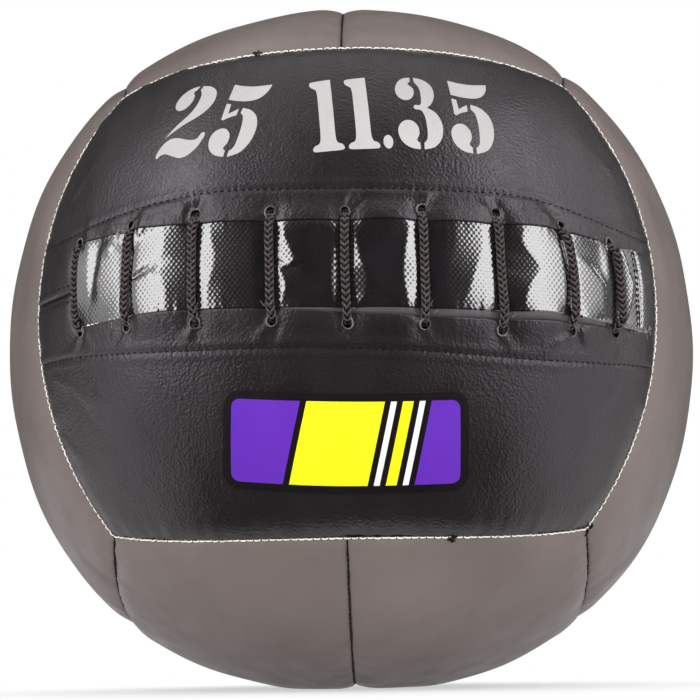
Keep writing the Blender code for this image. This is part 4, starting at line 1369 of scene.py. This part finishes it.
# Each figure is a set of solid parts with stencil gaps between them, 44 mm high and drawn wide
figure_high = 44
foot_ball = outline((14.6, 0, 1), (14.6, 3.4, 1), (12.9, 5.0), (14.5, 8.2), (14.2, 12.4),
                    (11.0, 15.6), (6.8, 15.8), (3.1, 13.0), (2.1, 8.6), (4.2, 3.8), (8.8, 0.8))
figures = {
    "1": (19.5, [outline((1.2, 0.3), (0.5, 1.8), (1.8, 3.4), (4.2, 4.4), (5.2, 7.0), (5.4, 12, 1),
                         (5.4, 34, 1), (4.8, 37.4), (2.8, 38.9), (1.3, 40.6), (1.6, 42.6),
                         (4.0, 43.3), (14.0, 44, 1), (14.1, 12, 1), (14.3, 7.0), (15.3, 4.4),
                         (17.7, 3.4), (19.0, 1.8), (18.2, 0.3), (14.0, 0, 1), (5.4, 0, 1))]),
    "2": (31.5, [outline((13.4, 44, 1), (12.6, 41.2, 1), (11.2, 39.6), (13.2, 36.6), (12.9, 32.0),
                         (10.2, 28.6), (6.4, 27.8), (3.0, 29.8), (2.0, 34.0), (3.8, 38.8),
                         (8.4, 42.6)),
                 outline((15.8, 44, 1), (21.6, 43.2), (26.8, 39.8), (28.6, 34.4), (27.0, 28.6),
                         (21.8, 23.2), (12.4, 17.6), (3.4, 11.4, 1), (9.4, 18.6), (15.2, 24.8),
                         (17.8, 31.0), (17.6, 37.4), (15.2, 41.2, 1)),
                 outline((1.0, 0.8), (0.8, 3.2), (4.0, 8.4), (9.0, 11.0), (14.6, 10.8),
                         (21.0, 9.6), (26.0, 10.0), (28.4, 13.4), (30.4, 13.6), (30.8, 11.2),
                         (28.2, 5.4), (23.6, 1.2), (18.4, -0.2), (12.4, 1.2), (7.4, 2.6),
                         (4.0, 2.0), (2.2, 0.6))]),
    "3": (30.5, [outline((12.8, 44, 1), (12.8, 41.0, 1), (11.2, 39.2), (13.8, 36.2), (13.8, 32.2),
                         (11.4, 29.0), (7.6, 28.4), (4.2, 30.6), (3.0, 35.0), (4.6, 39.8),
                         (8.2, 43.0)),
                 outline((15.2, 44, 1), (20.8, 42.6), (25.2, 38.6), (26.2, 32.6), (24.2, 27.0),
                         (20.8, 23.8, 1), (26.0, 20.6), (29.0, 14.4), (28.2, 7.0), (23.6, 1.8),
                         (17.0, 0, 1), (17.0, 3.4, 1), (19.2, 6.0), (19.6, 12.6), (18.8, 18.8),
                         (17.0, 22.0), (13.8, 22.6), (12.8, 23.9), (13.8, 25.2), (17.0, 25.6),
                         (18.0, 30.6), (17.6, 36.6), (15.2, 40.8, 1)),
                 foot_ball]),
    "5": (31.0, [outline((4.4, 44, 1), (11, 42.9), (19, 42.8), (29.0, 44.4, 1), (28.0, 39.6),
                         (24.4, 35.2), (18.6, 33.2), (11.6, 33.0), (4.8, 33.8, 1)),
                 outline((4.8, 31.2, 1), (7.8, 30.8, 1), (8.4, 24.8, 1), (14.0, 28.2, 1),
                         (14.0, 24.2, 1), (9.8, 22.6), (6.4, 20.8, 1), (5.2, 21.4, 1)),
                 outline((16.4, 28.8, 1), (22.6, 27.4), (27.6, 23.2), (29.6, 16.4), (28.4, 9.0),
                         (24.2, 3.0), (17.0, 0, 1), (17.0, 3.4, 1), (19.4, 6.0), (20.0, 13.4),
                         (19.4, 20.4), (18.2, 24.0), (16.2, 25.6, 1)),
                 foot_ball]),
    ".": (5.8, [arc(2.9, 3.7, 2.9, 3.7, 0, 345, 24)]),
}
figure_gap = 1.5               # before the figures are narrowed
narrowed, shortened = 0.72, 0.94


def written(number):
    """The outlines of a number's figures, round its middle, in millimetres."""
    outlines, place = [], 0
    for figure in number:
        wide, parts = figures[figure]
        outlines += [part + (place, 0) for part in parts]
        place += wide + figure_gap
    middle = ((place - figure_gap) / 2, figure_high / 2)
    return [(part - middle) * (narrowed, shortened) for part in outlines]


# Screen ink: thin, off-white, dull, and taking a little of the leather's grain
screen_ink = leather_finish("screen_ink", "#A1A09F", "#ACABAA", 0.55, 0.35, 0.05 * MM)
for name, number, middle, turn in (("pounds_figures", "25", (-61.7, 72.6), math.radians(-7.5)),
                                   ("kilogram_figures", "11.35", (29.6, 71.8), math.radians(0.3))):
    laid(name, written(number), middle, turn, screen_ink, 0.10 * MM, 0.05 * MM)

# Printed vinyl: smooth, satin, in flat colours
label_middle, label_turn = (0.2, -76.2), math.radians(-1.4)
label_wide, label_high, label_corner, label_border = 101.0, 41.6, 7.0, 3.4
label_lift = 0.22 * MM         # of its face over the leather
label_slant = 7.0              # how far a band leans over the label's height
label_bands = (                # colour, and where each band starts and stops along the label
    ("purple", -47.3, -22.0), ("yellow", -19.4, 12.5), ("white", 15.0, 17.4),
    ("yellow", 19.9, 24.3), ("white", 26.8, 29.2), ("purple", 31.7, 47.3))
label_colours = {"black": "#141213", "yellow": "#DDD600", "purple": "#5822A4", "white": "#D6D4D8"}
label_vinyl = {name: leather_finish(name + "_label_vinyl", colour, colour, 0.38, 0.4, 0.03 * MM)
               for name, colour in label_colours.items()}


def rounded(wide, high, corner):
    """The outline of a rectangle with round corners."""
    x, y = wide / 2 - corner, high / 2 - corner
    return np.concatenate([arc(x * sx, y * sy, corner, corner, start, start + 90, 9)
                           for sx, sy, start in ((1, 1, 0), (-1, 1, 90), (-1, -1, 180),
                                                 (1, -1, 270))])


laid("label", [rounded(label_wide, label_high, label_corner)], label_middle, label_turn,
     label_vinyl["black"], label_lift, 0.2 * MM)
band_high = label_high - 2 * label_border
field = rounded(label_wide - 2 * label_border, band_high, label_corner - label_border)
for number, (colour, start, stop) in enumerate(label_bands):
    # The first and last bands take the round corners of the field; the others are slanted strips
    lean = label_slant / 2
    left = ((start + lean, band_high / 2), (start - lean, -band_high / 2))
    right = ((stop - lean, -band_high / 2), (stop + lean, band_high / 2))
    if number == 0:
        left = [place for place in field if place[0] < start + label_corner]
    if number == len(label_bands) - 1:
        right = [place for place in field if place[0] > stop - label_corner]
        right = sorted(right, key=lambda place: place[1])
    laid(f"label_band_{number + 1}", [np.array([*left, *right])], label_middle, label_turn,
         label_vinyl[colour], label_lift + 0.08 * MM, 0.07 * MM)


# The studio. A pale floor, two soft boxes at the sides with weaker panels beyond them, one overhead
# and a low light in front. A black card in front and a grey tent round the set keep the glossy
# coating dark between the lights.

def seen_rays(tree):
    """1 for what the camera sees, straight or in a mirror or through glass, and 0 for the rest."""
    path = add_node(tree, "ShaderNodeLightPath").outputs
    seen = path["Is Camera Ray"]
    for ray in ("Is Glossy Ray", "Is Transmission Ray"):
        seen = add_node(tree, "ShaderNodeMath", links={0: seen, 1: path[ray]},
                        operation="MAXIMUM").outputs["Value"]
    return seen


# White paper, lit up where it is seen, but less so near the ball, so that it keeps its shadow
paper_reach = 9                # metres from the ball to its edges
white_floor, floor_tree, floor_shader = new_finish("white_paper_floor", Roughness=0.9,
                                                   Base_Color=from_hex("#F4F3F1"))
floor_away = add_node(floor_tree, "ShaderNodeVectorMath", links={0: place_on(floor_tree)},
                      operation="LENGTH")
floor_fade = add_node(floor_tree, "ShaderNodeMapRange", {"From Min": 0.06, "From Max": 0.24,
                                                         "To Min": 0.55},
                      {"Value": floor_away.outputs["Value"]}, interpolation_type="SMOOTHSTEP")
floor_share = add_node(floor_tree, "ShaderNodeMath", links={0: seen_rays(floor_tree),
                                                            1: floor_fade.outputs["Result"]},
                       operation="MULTIPLY")
floor_white = add_node(floor_tree, "ShaderNodeEmission", {"Color": (1, 1, 1, 1), "Strength": 1.0})
floor_mix = add_node(floor_tree, "ShaderNodeMixShader",
                     links={0: floor_share.outputs["Value"], 1: floor_shader.outputs["BSDF"],
                            2: floor_white.outputs["Emission"]})
floor_tree.links.new(floor_mix.outputs["Shader"],
                     floor_tree.nodes["Material Output"].inputs["Surface"])
floor = piece("floor", [(x * paper_reach, y * paper_reach, 0)
                        for x, y in ((-1, -1), (1, -1), (1, 1), (-1, 1))], [(0, 1, 2, 3)],
              white_floor)
floor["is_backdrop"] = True

# The card and the tent are seen only in reflections, and stand in no light's way. Each is cloth,
# matt and without a shine, given by how far out and how high its edges and bends lie.
card_turn = np.radians(np.linspace(-41, 41, 17))
card_bends = ((0.16, 0.004), (0.95, 0.004), (1.08, 0.05), (1.15, 0.16), (1.15, 1.05))
tent_turn = np.radians(np.linspace(-180, 180, 33))
tent_bends = ((1.9, 0.004), (1.9, 2.1), (0.01, 2.3))


def screen_points(bends, turn):
    """Rows of points round the ball, a row to each bend."""
    return np.array([[(out * math.sin(a), -out * math.cos(a), z) for a in turn]
                     for out, z in bends])


black_cloth = new_finish("black_card_cloth", Roughness=1.0, Base_Color=from_hex("#141414"),
                         Specular_IOR_Level=0.0)[0]
grey_cloth = new_finish("grey_tent_cloth", Roughness=1.0, Base_Color=from_hex("#757575"),
                        Specular_IOR_Level=0.0)[0]
card = sheet("front_card", screen_points(card_bends, card_turn), black_cloth)
tent = sheet("tent", screen_points(tent_bends, tent_turn), grey_cloth)
for screen in (card, tent):
    screen.visible_camera = False
    screen.visible_diffuse = False
    screen.visible_shadow = False
    screen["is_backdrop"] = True


def soft_box(name, azimuth, elevation, distance, width, height, power, mirrored=True):
    """A lamp with a flat face that looks at the ball's middle, from those angles in degrees."""
    light = bpy.data.lights.new(name, "AREA")
    light.shape, light.size, light.size_y, light.energy = "RECTANGLE", width, height, power
    made = bpy.data.objects.new(name, light)
    turn, rise = math.radians(azimuth), math.radians(elevation)
    out = Vector((math.sin(turn) * math.cos(rise), -math.cos(turn) * math.cos(rise),
                  math.sin(rise)))
    made.location = Vector(centre) + out * distance
    made.rotation_euler = out.to_track_quat("Z", "Y").to_euler()
    made.visible_glossy = mirrored
    bpy.context.collection.objects.link(made)


# Angle round from the front and up, distance, width, height and power of each
soft_box("left_soft_box", -50, 24, 1.5, 0.46, 1.6, 9.2)
soft_box("right_soft_box", 50, 24, 1.5, 0.46, 1.6, 9.2)
soft_box("left_panel", -71, 24, 1.5, 0.50, 1.6, 2.1)
soft_box("right_panel", 65, 24, 1.5, 0.26, 1.6, 1.5)
soft_box("right_strip", 91, 24, 1.5, 0.14, 1.6, 3.2)
soft_box("top_soft_box", 0, 82, 1.6, 1.4, 0.8, 3.4)
soft_box("front_fill", 0, -3, 1.3, 1.8, 0.18, 13, False)

world = bpy.data.worlds.new("studio")
bpy.context.scene.world = world
world.use_nodes = True
sky = world.node_tree
background = sky.nodes["Background"]
light_level = add_node(sky, "ShaderNodeMapRange", {"To Min": 0.30, "To Max": 1.0},
                       {"Value": seen_rays(sky)})
sky.links.new(light_level.outputs["Result"], background.inputs["Strength"])
background.inputs["Color"].default_value = (1, 1, 1, 1)

# The camera stands just above the floor and looks up at the ball, from a place, with a turn and
# with a lens that were fitted to the photograph's outline and seams
camera = bpy.data.objects.new("camera", bpy.data.cameras.new("camera"))
camera.location = (0.014176, -0.712360, rest_height - 0.163054)
camera.rotation_euler = [math.radians(a) for a in (102.8912, 0.7896, 1.3207)]
camera.data.lens = 69.557
camera.data.sensor_width = 36
camera.data.shift_x, camera.data.shift_y = -0.002214, 0.007357
bpy.context.collection.objects.link(camera)
bpy.context.scene.camera = camera
bpy.context.scene.view_settings.view_transform = "Standard"

low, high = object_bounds()
